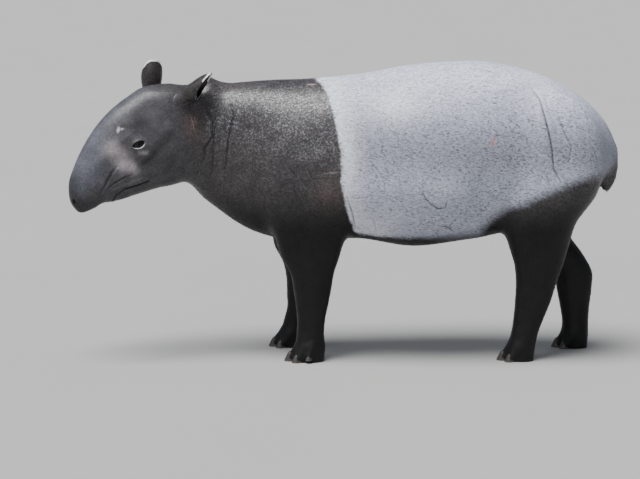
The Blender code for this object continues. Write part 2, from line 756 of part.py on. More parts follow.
def part_off(flesh, cuts, model):
    """Parts the flesh by the thin plates and names each piece by where it is."""
    boolean(flesh, make_partings(cuts))
    fore = {name: foot_shift(FORELEG, side, share) for name, side, share in (("left", -1, 0), ("right", 1, -1))}
    hind = {name: foot_shift(HINDLEG, side, share) for name, side, share in (("left", -1, 0), ("right", 1, 1))}
    places = {
        "torso": (0.2, 0, 0.72),
        "neck": (-0.43, 0, 0.78),
        "head": head_place((0.16, -0.03, 0)),
        "snout": head_place((0.50, 0.02, 0)),
    }
    for name, (ahead, out) in fore.items():
        places[f"foreleg_{name}"] = (-0.12 + ahead / 2, out, 0.24)
        places[f"forefoot_{name}"] = (FORE_FOOT_X + ahead, out, 0.04)
    for name, (ahead, out) in hind.items():
        places[f"hindleg_{name}"] = (0.67 + ahead / 2, out, 0.24)
        places[f"hindfoot_{name}"] = (HIND_FOOT_X + ahead, out, 0.04)
    names = list(places)
    middles = np.array([places[name] for name in names])
    points = get_points(flesh.data)
    made = {}
    for piece in islands(flesh):
        corners = {v for i in piece for v in flesh.data.polygons[i].vertices}
        middle = points[sorted(corners)].mean(0)
        name = names[int(np.argmin(np.linalg.norm(middles - middle, axis=1)))]
        if name not in made:
            made[name] = take_faces(flesh, piece, name, model)
    bpy.data.objects.remove(flesh)
    return made


def paint(obj, colour, roughness):
    material = bpy.data.materials.new(obj.name)
    material.use_nodes = True
    shader = material.node_tree.nodes["Principled BSDF"]
    shader.inputs["Base Color"].default_value = (*colour, 1)
    shader.inputs["Roughness"].default_value = roughness
    material.diffuse_color = (*colour, 1)
    obj.data.materials.clear()
    obj.data.materials.append(material)


def main():
    for obj in list(bpy.data.objects):
        bpy.data.objects.remove(obj)
    model = bpy.data.collections.new("malayan_tapir")
    cuts = bpy.data.collections.new("cutters")
    for group in (model, cuts):
        bpy.context.scene.collection.children.link(group)

    flesh, field = make_flesh(cuts)
    nodes = []
    carve(flesh, make_tail("tail_socket", cuts, GAP))
    nodes.append(make_tail("tail", model))
    for name, place in EARS.items():
        carve(flesh, make_ear(f"ear_{name}_socket", place, cuts, GAP))
        nodes.append(make_ear(f"ear_{name}", place, model))
    for name, side in (("left", -1), ("right", 1)):
        centre = eye_centre(side, make_lumps()[1][0].field)
        carve(flesh, make_eye(f"eye_{name}_socket", centre, cuts, GAP))
        carve(flesh, make_lid_opening(f"lids_{name}", centre, side, cuts))
        nodes.append(make_eye(f"eye_{name}", centre, model))
        for label, line in (("mouth", MOUTH), ("lip", LIP_CREASE)):
            path = groove_path(line, side, field)
            radii = MOUTH_GROOVE * np.sin(np.linspace(0.25, 2.6, len(path)))
            carve(flesh, make_tube(f"{label}_{name}", path, radii, cuts))
    for name, frame in all_toes():
        carve(flesh, make_hoof(f"hoof_{name}_socket", frame, cuts, 1.6 * GAP))
        nodes.append(make_hoof(f"hoof_{name}", frame, model))
    keep_largest(flesh)
    nodes.extend(part_off(flesh, cuts, model).values())

    hide_colour = (0.030, 0.028, 0.030)
    colours = {"torso": ((0.55, 0.56, 0.58), 0.6), "eye": ((0.02, 0.012, 0.008), 0.1), "hoof": ((0.02, 0.018, 0.016), 0.45)}
    for node in nodes:
        colour, roughness = colours.get(node.name.split("_")[0], (hide_colour, 0.5))
        paint(node, colour, roughness)


main()
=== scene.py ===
"""Looks of the Malayan tapir: one skin, a short coat, eyes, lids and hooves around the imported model.

Metres, +Z up. The animal faces -X, its left side is -Y and faces the camera.
"""

import math

import bmesh
import bpy
import numpy as np
from mathutils import Matrix, Vector


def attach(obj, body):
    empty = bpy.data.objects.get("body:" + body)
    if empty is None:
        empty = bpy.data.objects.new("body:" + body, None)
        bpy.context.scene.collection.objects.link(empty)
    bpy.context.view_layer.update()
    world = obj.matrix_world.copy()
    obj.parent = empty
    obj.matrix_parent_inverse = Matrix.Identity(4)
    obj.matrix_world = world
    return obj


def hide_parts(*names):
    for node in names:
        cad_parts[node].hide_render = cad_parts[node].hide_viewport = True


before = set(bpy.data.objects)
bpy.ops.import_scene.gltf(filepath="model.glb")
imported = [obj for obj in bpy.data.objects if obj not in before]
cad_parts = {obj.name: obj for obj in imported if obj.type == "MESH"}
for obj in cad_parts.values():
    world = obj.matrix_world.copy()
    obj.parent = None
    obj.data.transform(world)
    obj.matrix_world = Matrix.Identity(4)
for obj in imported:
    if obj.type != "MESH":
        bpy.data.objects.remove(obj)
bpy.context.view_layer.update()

# Sizes shared with the solids
HEAD_YAW = math.radians(23)
NECK_PIVOT_X = -0.50
EYE_RADIUS = 0.0190
EYE_PLACE = (0.247, 0.015)
EYE_SINK = 0.0105
EYE_BULGE = (0.035, 0.55)  # how far it stands out in front, as a share of the radius, and how wide
LID_THICK = 0.0032
LID_OPENING = (0.0205, 0.0104)  # a little wider than the solids', with the margins inside it
EAR_LENGTH = 0.144
EAR_THICK = 0.0045
EAR_DEPTH = 0.85
EAR_BEND = 0.008
EAR_RADIUS = ((0, 0.023), (0.25, 0.034), (0.5, 0.040), (0.75, 0.039), (1, 0.029))
EAR_RIM = ((0, 0.99), (25, 0.985), (50, 0.93), (75, 0.77), (100, 0.57), (135, 0.42), (180, 0.34))
TRUNK = (
    (-0.64, 0.950, 0.700, 0.088, 0.84),
    (-0.50, 0.975, 0.568, 0.118, 0.80),
    (-0.40, 0.990, 0.498, 0.145, 0.75),
    (-0.28, 1.000, 0.440, 0.182, 0.69),
    (-0.12, 1.006, 0.420, 0.222, 0.65),
    (0.05, 1.022, 0.428, 0.250, 0.66),
    (0.25, 1.056, 0.401, 0.272, 0.67),
    (0.45, 1.069, 0.424, 0.270, 0.71),
    (0.62, 1.069, 0.444, 0.252, 0.735),
    (1.00, 1.068, 0.450, 0.240, 0.735),
)
TRUNK_ENDS = (-0.70, -0.60, 0.44, 0.984)
HEAD_ORIGIN = (-0.60, 0.0, 0.95)
HEAD_SLOPE = math.radians(45)
HEAD = (
    (-0.06, -0.015, -0.150, 0.080, -0.05),
    (0.00, 0.058, -0.200, 0.090, -0.03),
    (0.07, 0.116, -0.225, 0.098, -0.03),
    (0.14, 0.137, -0.234, 0.102, -0.04),
    (0.23, 0.150, -0.220, 0.100, -0.04),
    (0.30, 0.147, -0.172, 0.090, -0.02),
    (0.37, 0.134, -0.130, 0.077, 0.00),
    (0.43, 0.116, -0.093, 0.065, 0.01),
    (0.49, 0.092, -0.060, 0.053, 0.01),
    (0.56, 0.070, -0.050, 0.046, -0.01),
)
HEAD_ENDS = (-0.12, -0.03, 0.47, 0.558)
MOUTH = (
    (0.300, -0.116), (0.334, -0.0995), (0.362, -0.085), (0.387, -0.069), (0.423, -0.062), (0.452, -0.074),
)
LIP_CREASE = (
    (0.330, -0.049), (0.350, -0.038), (0.372, -0.031), (0.395, -0.025), (0.416, -0.021), (0.440, -0.019),
)
NOSE_CREASE = ((0.352, 0.014), (0.380, 0.011), (0.409, 0.003), (0.437, -0.006), (0.463, -0.014))
NOSTRIL_PLACE = (0.024, 0.0185)  # out of the slope, and to either side
NOSTRIL_SIZE = (0.0105, 0.0042)
BODY_SWELLS = (
    ((-0.20, 0.19, 0.74), (0.11, 0.12, 0.17), 0.010),
    ((-0.07, 0.17, 0.52), (0.07, 0.09, 0.09), 0.012),
    ((-0.35, 0.15, 0.74), (0.05, 0.10, 0.16), -0.010),
    ((-0.34, 0.00, 0.50), (0.08, 0.10, 0.07), 0.008),
    ((0.04, 0.22, 0.47), (0.05, 0.10, 0.11), -0.012),
    ((0.22, 0.26, 0.58), (0.20, 0.10, 0.14), 0.008),
    ((0.49, 0.25, 0.60), (0.05, 0.10, 0.11), -0.012),
    ((0.70, 0.20, 0.62), (0.12, 0.12, 0.16), 0.012),
    ((0.62, 0.19, 0.48), (0.06, 0.08, 0.07), 0.006),
    ((0.57, 0.17, 0.99), (0.07, 0.07, 0.05), 0.006),
)
HEAD_SWELLS = (
    ((0.11, -0.13, 0.085), (0.07, 0.08, 0.05), 0.010),
    ((0.19, -0.025, 0.095), (0.08, 0.022, 0.05), 0.006),
    ((0.25, 0.062, 0.080), (0.035, 0.018, 0.03), 0.006),
    ((0.15, 0.060, 0.085), (0.05, 0.030, 0.04), -0.005),
    ((0.34, 0.030, 0.070), (0.05, 0.035, 0.04), -0.007),
    ((0.27, -0.075, 0.085), (0.04, 0.030, 0.04), -0.006),
    ((0.40, -0.042, 0.055), (0.04, 0.022, 0.03), 0.005),
    ((0.40, -0.098, 0.035), (0.04, 0.018, 0.03), 0.004),
    ((0.478, -0.072, 0.000), (0.022, 0.030, 0.06), -0.008),
)
FORELEG = (
    (0.00, -0.176, -0.070, 0.046, 0.145, 0.062),
    (0.05, -0.174, -0.066, 0.047, 0.145, 0.058),
    (0.10, -0.170, -0.070, 0.043, 0.144, 0.050),
    (0.15, -0.168, -0.066, 0.043, 0.143, 0.040),
    (0.20, -0.173, -0.056, 0.045, 0.142, 0.036),
    (0.26, -0.181, -0.044, 0.049, 0.141, 0.030),
    (0.32, -0.194, -0.034, 0.055, 0.140, 0.030),
    (0.38, -0.226, -0.014, 0.063, 0.138, 0.028),
    (0.45, -0.246, 0.004, 0.075, 0.134, 0.018),
    (0.55, -0.264, 0.008, 0.088, 0.128, 0.006),
    (0.68, -0.262, -0.010, 0.090, 0.118, 0.000),
)
FORELEG_ENDS = (-0.03, -0.01, 0.66, 0.86)
HINDLEG = (
    (0.00, 0.590, 0.685, 0.047, 0.130, 0.222),
    (0.05, 0.590, 0.690, 0.048, 0.130, 0.220),
    (0.10, 0.602, 0.700, 0.043, 0.131, 0.210),
    (0.16, 0.610, 0.722, 0.041, 0.132, 0.192),
    (0.22, 0.614, 0.745, 0.043, 0.134, 0.176),
    (0.28, 0.616, 0.762, 0.048, 0.137, 0.160),
    (0.35, 0.610, 0.785, 0.060, 0.139, 0.100),
    (0.42, 0.590, 0.804, 0.077, 0.140, 0.032),
    (0.50, 0.575, 0.828, 0.097, 0.136, 0.002),
    (0.60, 0.575, 0.900, 0.108, 0.128, 0.000),
    (0.74, 0.600, 0.930, 0.110, 0.118, 0.000),
)
HINDLEG_ENDS = (-0.03, -0.01, 0.72, 0.95)
FORE_TOES = (
    (0.043, -0.037, -20, 0.84, 0.0),
    (0.066, 0.000, 0, 1.00, 0.0),
    (0.043, 0.037, 20, 0.84, 0.0),
    (0.000, 0.053, 62, 0.62, 0.010),
)
HIND_TOES = (
    (0.040, -0.036, -20, 0.84, 0.0),
    (0.062, 0.000, 0, 1.00, 0.0),
    (0.040, 0.036, 20, 0.84, 0.0),
)
HOOF_SIZE = (0.023, 0.0185, 0.040)
HOOF_RINGS = (
    (0, 0.0012), (0.02, 0.0003), (0.06, 0), (0.2, 0), (0.35, 0), (0.5, 0), (0.65, 0), (0.8, 0),
    (0.9, 0.0006), (0.96, 0.0016), (1.0, 0.004), (1.02, 0.009),
)  # share of its height, and how far the ring is drawn in
FORE_FOOT_X = -0.126
HIND_FOOT_X = 0.635
TAIL = (
    ((0.910, 0.0, 0.790), 0.034),
    ((0.955, 0.0, 0.745), 0.034),
    ((0.966, 0.0, 0.690), 0.029),
    ((0.963, 0.0, 0.645), 0.024),
    ((0.952, 0.0, 0.613), 0.018),
)
EARS = {
    "left": ((0.018, 0.010, -0.090), (0.865, -0.15, 0.48), (0.47, -0.15, -0.87)),
    "right": ((0.063, 0.044, 0.085), (0.01, 0.13, 0.98), (-0.40, 0.92, 0.00)),
}

# The skin
SKIN_DEPTH = 0.0012  # it lies this far inside the solids, under the coat
SKIN_VOXEL = 0.0145  # grid of the first, coarsest skin; each refining halves it
SOLE = 0.0006  # height of the flat soles, between the hooves' flats on the floor

# The coat
TUFT_COUNT = 132000
TUFT_SEED = 11
TUFT_LENGTH = 0.0165
TUFT_WIDTH = 0.00115
TUFT_THICK = 0.14  # of its width
TUFT_FACES = (
    (0, 2, 1), (0, 1, 4), (0, 4, 3), (1, 2, 5), (1, 5, 4), (2, 0, 3), (2, 3, 5), (3, 4, 6), (4, 5, 6),
    (5, 3, 6),
)
TUFT_UNWRAP = ((0, 0), (0.5, 0), (1, 0), (0, 0.5), (0.5, 0.5), (1, 0.5), (0.5, 1))
LEG_TOP = 0.42  # where the pieces of the legs' coat begin
RUMP_FRONT = 0.36

# The studio, with the camera as the photograph has it
FLOOR_GAP = 0.0002  # the floor lies this far under the hooves
FLOOR_COLOURS = ((0.350, 0.346, 0.338), (0.375, 0.370, 0.362))
SKY_COLOUR = (0.84, 0.90, 1.0)
SKY_STRENGTH = 0.36
LAMPS = (("key", 5.7, 34, (14, -12, 0)), ("side", 0.6, 60, (50, 0, -55)), ("glint", 0.3, 9, (70, 0, -8)))
CAMERA = (-0.0855, -8.417, 1.603)
CAMERA_TARGET = (-0.0855, 0.0, 0.42)
CAMERA_LENS = 131.48

# Creases and scars of the hide, drawn as the camera sees them on the upright plane through the spine
# (X, Z), then depth, half width, strength on the far side, darkness (painted shade in the creases, the
# scratches' own dark) and pinkness
FOLDS = (
    (
        (
            (-0.409, 0.907), (-0.398, 0.871), (-0.405, 0.83), (-0.418, 0.783), (-0.425, 0.705),
            (-0.431, 0.676),
        ),
        0.0032, 0.011, 0.6, 1.0, 0,
    ),
    (
        ((-0.483, 0.885), (-0.472, 0.856), (-0.475, 0.792), (-0.502, 0.753), (-0.507, 0.705)),
        0.0038, 0.011, 0.6, 1.0, 0,
    ),
    (((-0.460, 0.874), (-0.471, 0.794), (-0.475, 0.676), (-0.482, 0.643)), 0.0026, 0.009, 0.4, 0.7, 0),
    (((-0.325, 0.890), (-0.318, 0.850), (-0.322, 0.810)), 0.0014, 0.009, 0.3, 0.5, 0),
    (
        ((0.680, 0.965), (0.707, 0.929), (0.738, 0.823), (0.753, 0.750), (0.761, 0.676), (0.787, 0.628)),
        0.0034, 0.011, 0.8, 1.0, 0,
    ),
    (((0.770, 0.880), (0.798, 0.808), (0.824, 0.757), (0.816, 0.705)), 0.0022, 0.010, 0.8, 0.6, 0),
    (((0.012, 0.575), (0.031, 0.521), (0.044, 0.459)), 0.0035, 0.009, 0.8, 0.8, 0),
    (((0.100, 0.525), (0.118, 0.458)), 0.0012, 0.006, 0.0, 0.5, 0),
    (
        ((0.285, 0.598), (0.296, 0.572), (0.315, 0.549), (0.347, 0.532), (0.369, 0.537), (0.376, 0.561)),
        0.0016, 0.006, 0.0, 1.1, 0,
    ),
    (((0.351, 0.470), (0.376, 0.466), (0.402, 0.449)), 0.0014, 0.006, 0.0, 1.0, 0),
    (((0.282, 0.459), (0.307, 0.455)), 0.0010, 0.005, 0.0, 0.7, 0),
    (((0.380, 0.561), (0.445, 0.547)), 0.0008, 0.005, 0.0, 0.35, 0),
    (((0.445, 0.539), (0.387, 0.470)), 0.0008, 0.005, 0.0, 0.35, 0),
    (((-0.100, 0.655), (-0.049, 0.666), (0.002, 0.668)), 0.0008, 0.004, 0.0, 0.0, 0.55),
    (((0.002, 0.571), (0.060, 0.572), (0.118, 0.581)), 0.0010, 0.004, 0.0, 0.7, 0.15),
    (((0.546, 0.801), (0.538, 0.780), (0.533, 0.760)), -0.0008, 0.007, 0.0, 0.0, 1.0),
    (((0.538, 0.778), (0.553, 0.766)), -0.0006, 0.006, 0.0, 0.0, 1.0),
    (((-0.136, 0.984), (-0.100, 0.984)), 0.0006, 0.006, 0.0, 0.0, 0.8),
    (((-0.556, 0.880), (-0.545, 0.845), (-0.540, 0.812)), 0.0008, 0.005, 0.0, 0.0, 0.5),
    (((-0.541, 0.872), (-0.532, 0.835)), 0.0008, 0.005, 0.0, 0.0, 0.5),
    (((0.453, 1.046), (0.515, 1.034), (0.569, 1.018)), 0.0012, 0.008, 0.0, 0.6, 0),
)
# Painted light and shade of the head's forms (the hollow over the eye, the side and front of the nose, the
# jaw and under it, the forehead, the lit cheek), with its paler and warmer patches and the scar over the
# eye, drawn in its own side view (down the slope, out of it): reach, then light or dark
FACE_SHADING_AND_MARKS = (
    (((0.250, 0.092), (0.221, 0.077), (0.190, 0.059), (0.160, 0.043)), 0.019, -0.52),
    (((0.318, 0.070), (0.317, 0.038), (0.338, 0.006)), 0.034, 0.58),
    (((0.321, -0.017), (0.321, -0.046)), 0.024, 0.55),
    (((0.352, 0.074), (0.350, 0.050)), 0.026, 0.15),
    (((0.263, -0.009), (0.249, -0.028)), 0.011, 0.60),
    (((0.285, -0.042), (0.260, -0.048), (0.230, -0.046)), 0.012, -0.70),
    (((0.200, -0.046), (0.112, -0.053)), 0.020, -0.30),
    (((0.260, -0.100), (0.180, -0.125), (0.090, -0.135)), 0.050, -0.34),
    (((0.424, -0.036), (0.398, -0.046), (0.365, -0.063), (0.322, -0.084)), 0.0075, 0.30),
    (((0.490, 0.090), (0.525, 0.055), (0.540, 0.020), (0.545, -0.030)), 0.026, -0.60),
    (((0.430, -0.105), (0.330, -0.160), (0.220, -0.215), (0.100, -0.240)), 0.045, -0.45),
    (((0.370, 0.030), (0.420, 0.045), (0.455, 0.060)), 0.018, -0.18),
    (((0.165, 0.118), (0.105, 0.106)), 0.040, -0.34),
    (((0.250, 0.102), (0.262, 0.093)), 0.0024, 2.8),
    (((0.256, 0.097), (0.243, 0.087)), 0.0022, 2.7),
)
# The black hide's colours, among them painted light on the top of the head and a darker black on the legs
# that is partly painted shade, each laid over those before where its value asks for it: value, share,
# colour
DARK_HIDE = (
    ("head", 1.0, (0.060, 0.057, 0.063)),
    # painted light: the top of the head and the bridge of the nose made bluish grey where the sky light
    # falls
    ("lit_top_of_head", 0.9, (0.088, 0.090, 0.112)),
    ("brown", 0.7, (0.075, 0.052, 0.047)),
    ("ear", 0.8, (0.025, 0.021, 0.020)),
    # the legs and low body near black, darker than the neck's black: partly their own black, partly painted
    # shade under the body
    ("leg", 1.0, (0.0060, 0.0058, 0.0062)),
)
# Then the head's painted light and shade, and its scar: from which and to which tone, the most of it,
# colour
FACE_SHADING_AND_MARK_COLOURS = (
    (0.0, 1.0, 1.0, (0.34, 0.305, 0.32)),
    (0.0, -1.0, 0.92, (0.012, 0.0115, 0.0125)),
    (1.7, 2.6, 1.0, (0.60, 0.50, 0.50)),
)
# Brighter places of the saddle in the plane of the creases, partly painted light on the top of the back and
# rump where the light from above falls, partly whiter hair lower down: X, Z, reach along X, reach along Z,
# share
LIT_AND_WHITER_PATCHES = (
    (0.187, 0.914, 0.100, 0.065, 0.85),
    (0.369, 0.602, 0.050, 0.040, 0.40),
    (0.169, 0.510, 0.100, 0.050, 0.25),
    (0.420, 1.020, 0.250, 0.045, 0.35),
    (0.700, 0.960, 0.060, 0.080, 0.35),
)
# The white saddle's edge in the same plane: front edge downward, along the belly, then up to the tail
SADDLE = (
    (-0.16, 1.30), (-0.104, 1.007), (-0.071, 0.974), (-0.053, 0.933), (-0.038, 0.874), (-0.024, 0.812),
    (-0.009, 0.746), (-0.005, 0.676), (-0.009, 0.625), (0.004, 0.566), (0.013, 0.520), (0.041, 0.448),
    (0.10, 0.436), (0.20, 0.428), (0.32, 0.428), (0.42, 0.434), (0.485, 0.440), (0.507, 0.465),
    (0.545, 0.503), (0.584, 0.533), (0.656, 0.555), (0.731, 0.588), (0.805, 0.621), (0.955, 0.669),
    (0.995, 0.720), (1.20, 0.80), (1.20, 1.30),
)


def spline(stations, values):
    """A smooth curve through the stations, level beyond both ends: cubic Hermite pieces."""
    x = np.asarray(stations, float)
    y = np.asarray(values, float)
    slope = np.gradient(y, x)
    slope[0] = slope[-1] = 0.0

    def at(s):
        s = np.clip(s, x[0], x[-1])
        i = np.clip(np.searchsorted(x, s) - 1, 0, len(x) - 2)
        width = x[i + 1] - x[i]
        t = (s - x[i]) / width
        start = (1 + 2 * t) * (1 - t) ** 2 * y[i] + t * (1 - t) ** 2 * width * slope[i]
        end = t * t * (3 - 2 * t) * y[i + 1] + t * t * (t - 1) * width * slope[i + 1]
        return start + end

    return at


def unit(vector):
    """The vectors at length one."""
    vector = np.asarray(vector, float)
    return vector / np.maximum(np.linalg.norm(vector, axis=-1, keepdims=True), 1e-12)


def smooth_step(low, high, value):
    """0 below low, 1 above high, 3t^2 - 2t^3 between."""
    t = np.clip((value - low) / (high - low), 0, 1)
    return t * t * (3 - 2 * t)


class Loft:
    """A lump of the body: superellipse sections along a straight axis, rounded off at both ends."""

    def __init__(self, rows, ends, origin, axes, powers, end_power=2.0):
        table = np.array(rows, float).T
        self.curves = [spline(table[0], column) for column in table[1:]]
        self.low_tip, self.low, self.high, self.high_tip = ends
        self.origin = np.array(origin, float)
        self.axes = np.array(axes, float)
        self.powers = powers
        self.end_power = end_power

    def end_share(self, s):
        """0 along the lump, rising evenly to 1 at either tip."""
        over = np.maximum(s - self.high, 0) / (self.high_tip - self.high)
        return over + np.maximum(self.low - s, 0) / (self.low - self.low_tip)

    def field(self, points):
        """Roughly the distance from the surface, below zero inside: (rho - 1) * reach / rho, where rho
        is the superellipse's own measure of the point and reach its distance from the axis."""
        s, n, y = ((points - self.origin) @ self.axes.T).T
        top, bottom, half, widest, side = (curve(s) for curve in self.curves)
        run = np.maximum(s - self.high, 0) + np.maximum(self.low - s, 0)
        rise = n - widest
        v = np.abs(rise) / np.where(rise > 0, top - widest, widest - bottom)
        u = np.abs(y - side) / half
        p = np.where(rise > 0, *self.powers)
        ring = (u**p + v**p) ** (1 / p)
        q = self.end_power
        rho = (ring**q + self.end_share(s) ** q) ** (1 / q) + 1e-6
        reach = np.sqrt(rise**2 + (y - side) ** 2 + run**2)
        return (rho - 1) * reach / rho

    def mesh_into(self, bm, rings=40, sides=28):
        """The lump's own rough surface, as rings from tip to tip."""
        turn = np.linspace(0, math.pi, rings)
        middle = (self.low_tip + self.high_tip) / 2
        s = middle - np.cos(turn) * (self.high_tip - self.low_tip) / 2 * 0.999
        scale = (1 - self.end_share(s) ** self.end_power) ** (1 / self.end_power)
        top, bottom, half, widest, side = (curve(s) for curve in self.curves)
        angle = np.linspace(0, 2 * math.pi, sides, endpoint=False)
        c, d = np.cos(angle), np.sin(angle)
        height = np.where(d > 0, (top - widest)[:, None], (widest - bottom)[:, None])
        n = widest[:, None] + scale[:, None] * height * d
        y = side[:, None] + scale[:, None] * half[:, None] * c
        local = np.stack([np.repeat(s[:, None], sides, 1), n, y], -1)
        rings_into(bm, local @ self.axes + self.origin)


class Limb:
    """A round limb along straight pieces, each with a radius at both ends."""

    def __init__(self, stations):
        self.points = np.array([place for place, _ in stations], float)
        self.radii = np.array([radius for _, radius in stations], float)

    def field(self, points):
        """Distance from the nearest piece less its radius there."""
        best = np.full(len(points), np.inf)
        for a, b, ra, rb in zip(self.points, self.points[1:], self.radii, self.radii[1:]):
            along = b - a
            t = np.clip((points - a) @ along / (along @ along), 0, 1)
            off = np.linalg.norm(points - a - t[:, None] * along, axis=1)
            best = np.minimum(best, off - ra - t * (rb - ra))
        return best

    def mesh_into(self, bm):
        """Balls along each straight piece, near enough to overlap."""
        for a, b, ra, rb in zip(self.points, self.points[1:], self.radii, self.radii[1:]):
            for t in (0, 0.5, 1):
                place = Matrix.Translation(a + t * (b - a))
                radius = ra + t * (rb - ra)
                bmesh.ops.create_icosphere(bm, subdivisions=2, radius=radius, matrix=place)


class Ear:
    """A cup cut off at a slant on a round root, with walls of even thickness and a rounded rim."""

    def __init__(self, root, towards, opens):
        self.base = head_place(root)
        self.along = unit(towards)
        self.front = unit(np.array(opens) - np.dot(opens, self.along) * self.along)
        self.across = np.cross(self.along, self.front)
        self.radius = spline(*zip(*EAR_RADIUS))
        self.rim = spline(*zip(*EAR_RIM))

    def local(self, points):
        """Height along the ear, distance from its axis, and degrees from the middle of its back."""
        off = points - self.base
        height = off @ self.along
        bend = -EAR_BEND * (height / EAR_LENGTH) ** 2
        back = (bend - off @ self.front) / EAR_DEPTH
        side = off @ self.across
        return height, np.hypot(back, side), np.degrees(np.abs(np.arctan2(side, back)))

    def field(self, points):
        """Outside of the cup, less its hollow, cut off at the rim, each join rounded."""
        height, reach, turn = self.local(points)
        radius = self.radius(height / EAR_LENGTH)
        radius = np.where(height < 0, radius * np.sqrt(np.clip(1 + height / 0.034, 0.02, 1)), radius)
        hollow = smooth_min(radius - EAR_THICK - reach, height - 0.020, 0.012)
        rim = (height - EAR_LENGTH * self.rim(turn)) * 0.6
        shell = -smooth_min(-(reach - radius), -hollow, 0.002)
        return -smooth_min(-shell, -rim, 0.004)

    def mesh_into(self, bm, around=72):
        """Rings up the outside, over the rim and down the inside."""
        turn = np.linspace(0, 2 * math.pi, around, endpoint=False)
        from_back = np.degrees(np.minimum(turn, 2 * math.pi - turn))
        rim = EAR_LENGTH * self.rim(from_back)
        root = ((0.028, 0.4), (0.024, 0.75), (0.012, 0.97))
        rows = [(np.full(around, -depth), self.radius(0) * share) for depth, share in root]
        for share in np.linspace(0, 0.985, 30):
            rows.append((share * rim, self.radius(share * rim / EAR_LENGTH)))
        rows.append((rim, self.radius(rim / EAR_LENGTH) - 0.3 * EAR_THICK))
        rows.append((rim, self.radius(rim / EAR_LENGTH) - 0.7 * EAR_THICK))
        for share in np.linspace(0.985, 0.34, 22):
            height = np.maximum(share * rim, 0.022)
            reach = self.radius(height / EAR_LENGTH) - EAR_THICK - 0.012 * (0.985 - share) ** 4
            rows.append((height, reach))
        for share in (0.8, 0.6, 0.35, 0.12):
            rows.append((np.full(around, 0.020), (self.radius(0.15) - EAR_THICK - 0.003) * share))
        rings = []
        for height, reach in rows:
            bend = -EAR_BEND * (height / EAR_LENGTH) ** 2
            ring = self.base + height[:, None] * self.along + (reach * np.sin(turn))[:, None] * self.across
            rings.append(ring + (bend - EAR_DEPTH * reach * np.cos(turn))[:, None] * self.front)
        rings_into(bm, np.array(rings))


def rings_into(bm, rings):
    """Adds closed rings of points as a tube of quads with a cap at both ends."""
    grid = [[bm.verts.new(place) for place in ring] for ring in rings]
    for a, b in zip(grid, grid[1:]):
        for i in range(len(a)):
            j = (i + 1) % len(a)
            bm.faces.new((a[i], a[j], b[j], b[i]))
    bm.faces.new(grid[0][::-1])
    bm.faces.new(grid[-1])


def yaw():
    """The head's turn to its left, as a matrix."""
    return np.array(Matrix.Rotation(HEAD_YAW, 3, "Z"))


def head_axes():
    """Rows: down the head's slope, out of its forehead, and across it to the right."""
    c, s = math.cos(HEAD_SLOPE), math.sin(HEAD_SLOPE)
    return np.array([(-c, 0, -s), (-s, 0, c), (0, 1, 0)]) @ yaw().T


def head_origin():
    pivot = np.array([NECK_PIVOT_X, 0, 0])
    return (np.array(HEAD_ORIGIN) - pivot) @ yaw().T + pivot


def head_place(places):
    """Points of the head's own frame in the room."""
    return np.asarray(places, float) @ head_axes() + head_origin()


def on_head(points):
    """The other way: points of the room in the head's own frame, as down, out and across."""
    return ((points - head_origin()) @ head_axes().T).T


def smooth_min(a, b, radius):
    """The lower of two fields, with a fillet of about that radius where they meet."""
    h = np.maximum(radius - np.abs(a - b), 0) / radius
    return np.minimum(a, b) - h * h * radius / 4


def leg_loft(rows, ends, side, share):
    """A leg as level sections. share is how much of the last column moves it along X."""
    table = []
    for height, front, back, half, out, stride in rows:
        move = share * stride
        middle = (front + back) / 2 + move
        table.append((height, back + move, front + move, half, middle, side * out))
    return Loft(table, ends, (0, 0, 0), [(0, 0, 1), (1, 0, 0), (0, 1, 0)], (2.3, 2.3))


def toe_frame(toe, foot_x, shift, side):
    """Origin of a toe on the floor and the directions forward and outward, level."""
    forward, out, turn, size, lift = toe
    angle = math.radians(turn)
    ahead = np.array([-math.cos(angle), side * math.sin(angle), 0])
    across = np.array([math.sin(angle), side * math.cos(angle), 0])
    origin = np.array([foot_x + shift[0] - forward, shift[1] + side * out, lift])
    return origin, ahead, across, size


def all_toes():
    """Every toe: the foot it is on, its number from the inside, and its frame."""
    feet = (
        ("fore", FORE_TOES, FORE_FOOT_X, FORELEG, -1.0),
        ("hind", HIND_TOES, HIND_FOOT_X, HINDLEG, 1.0),
    )
    for leg, toes, foot_x, rows, stride in feet:
        for name, side, share in (("left", -1, 0.0), ("right", 1, stride)):
            shift = (share * rows[0][5], side * rows[0][4])
            for number, toe in enumerate(toes, 1):
                yield f"{leg}_{name}_{number}", toe_frame(toe, foot_x, shift, side)


def side_of_head(field, s, n, side):
    """How far across the head its surface is at a place of its side view, by halving."""
    low, high = 0.0, 0.16
    for _ in range(24):
        middle = (low + high) / 2
        inside = field(head_place([(s, n, side * middle)]))[0] < 0
        low, high = (middle, high) if inside else (low, middle)
    return side * low


def eye_centre(side, field):
    """The eyeball's centre: a set depth under the head's surface at the eye's place."""
    across = side_of_head(field, *EYE_PLACE, side)
    return head_place((*EYE_PLACE, across - side * EYE_SINK))


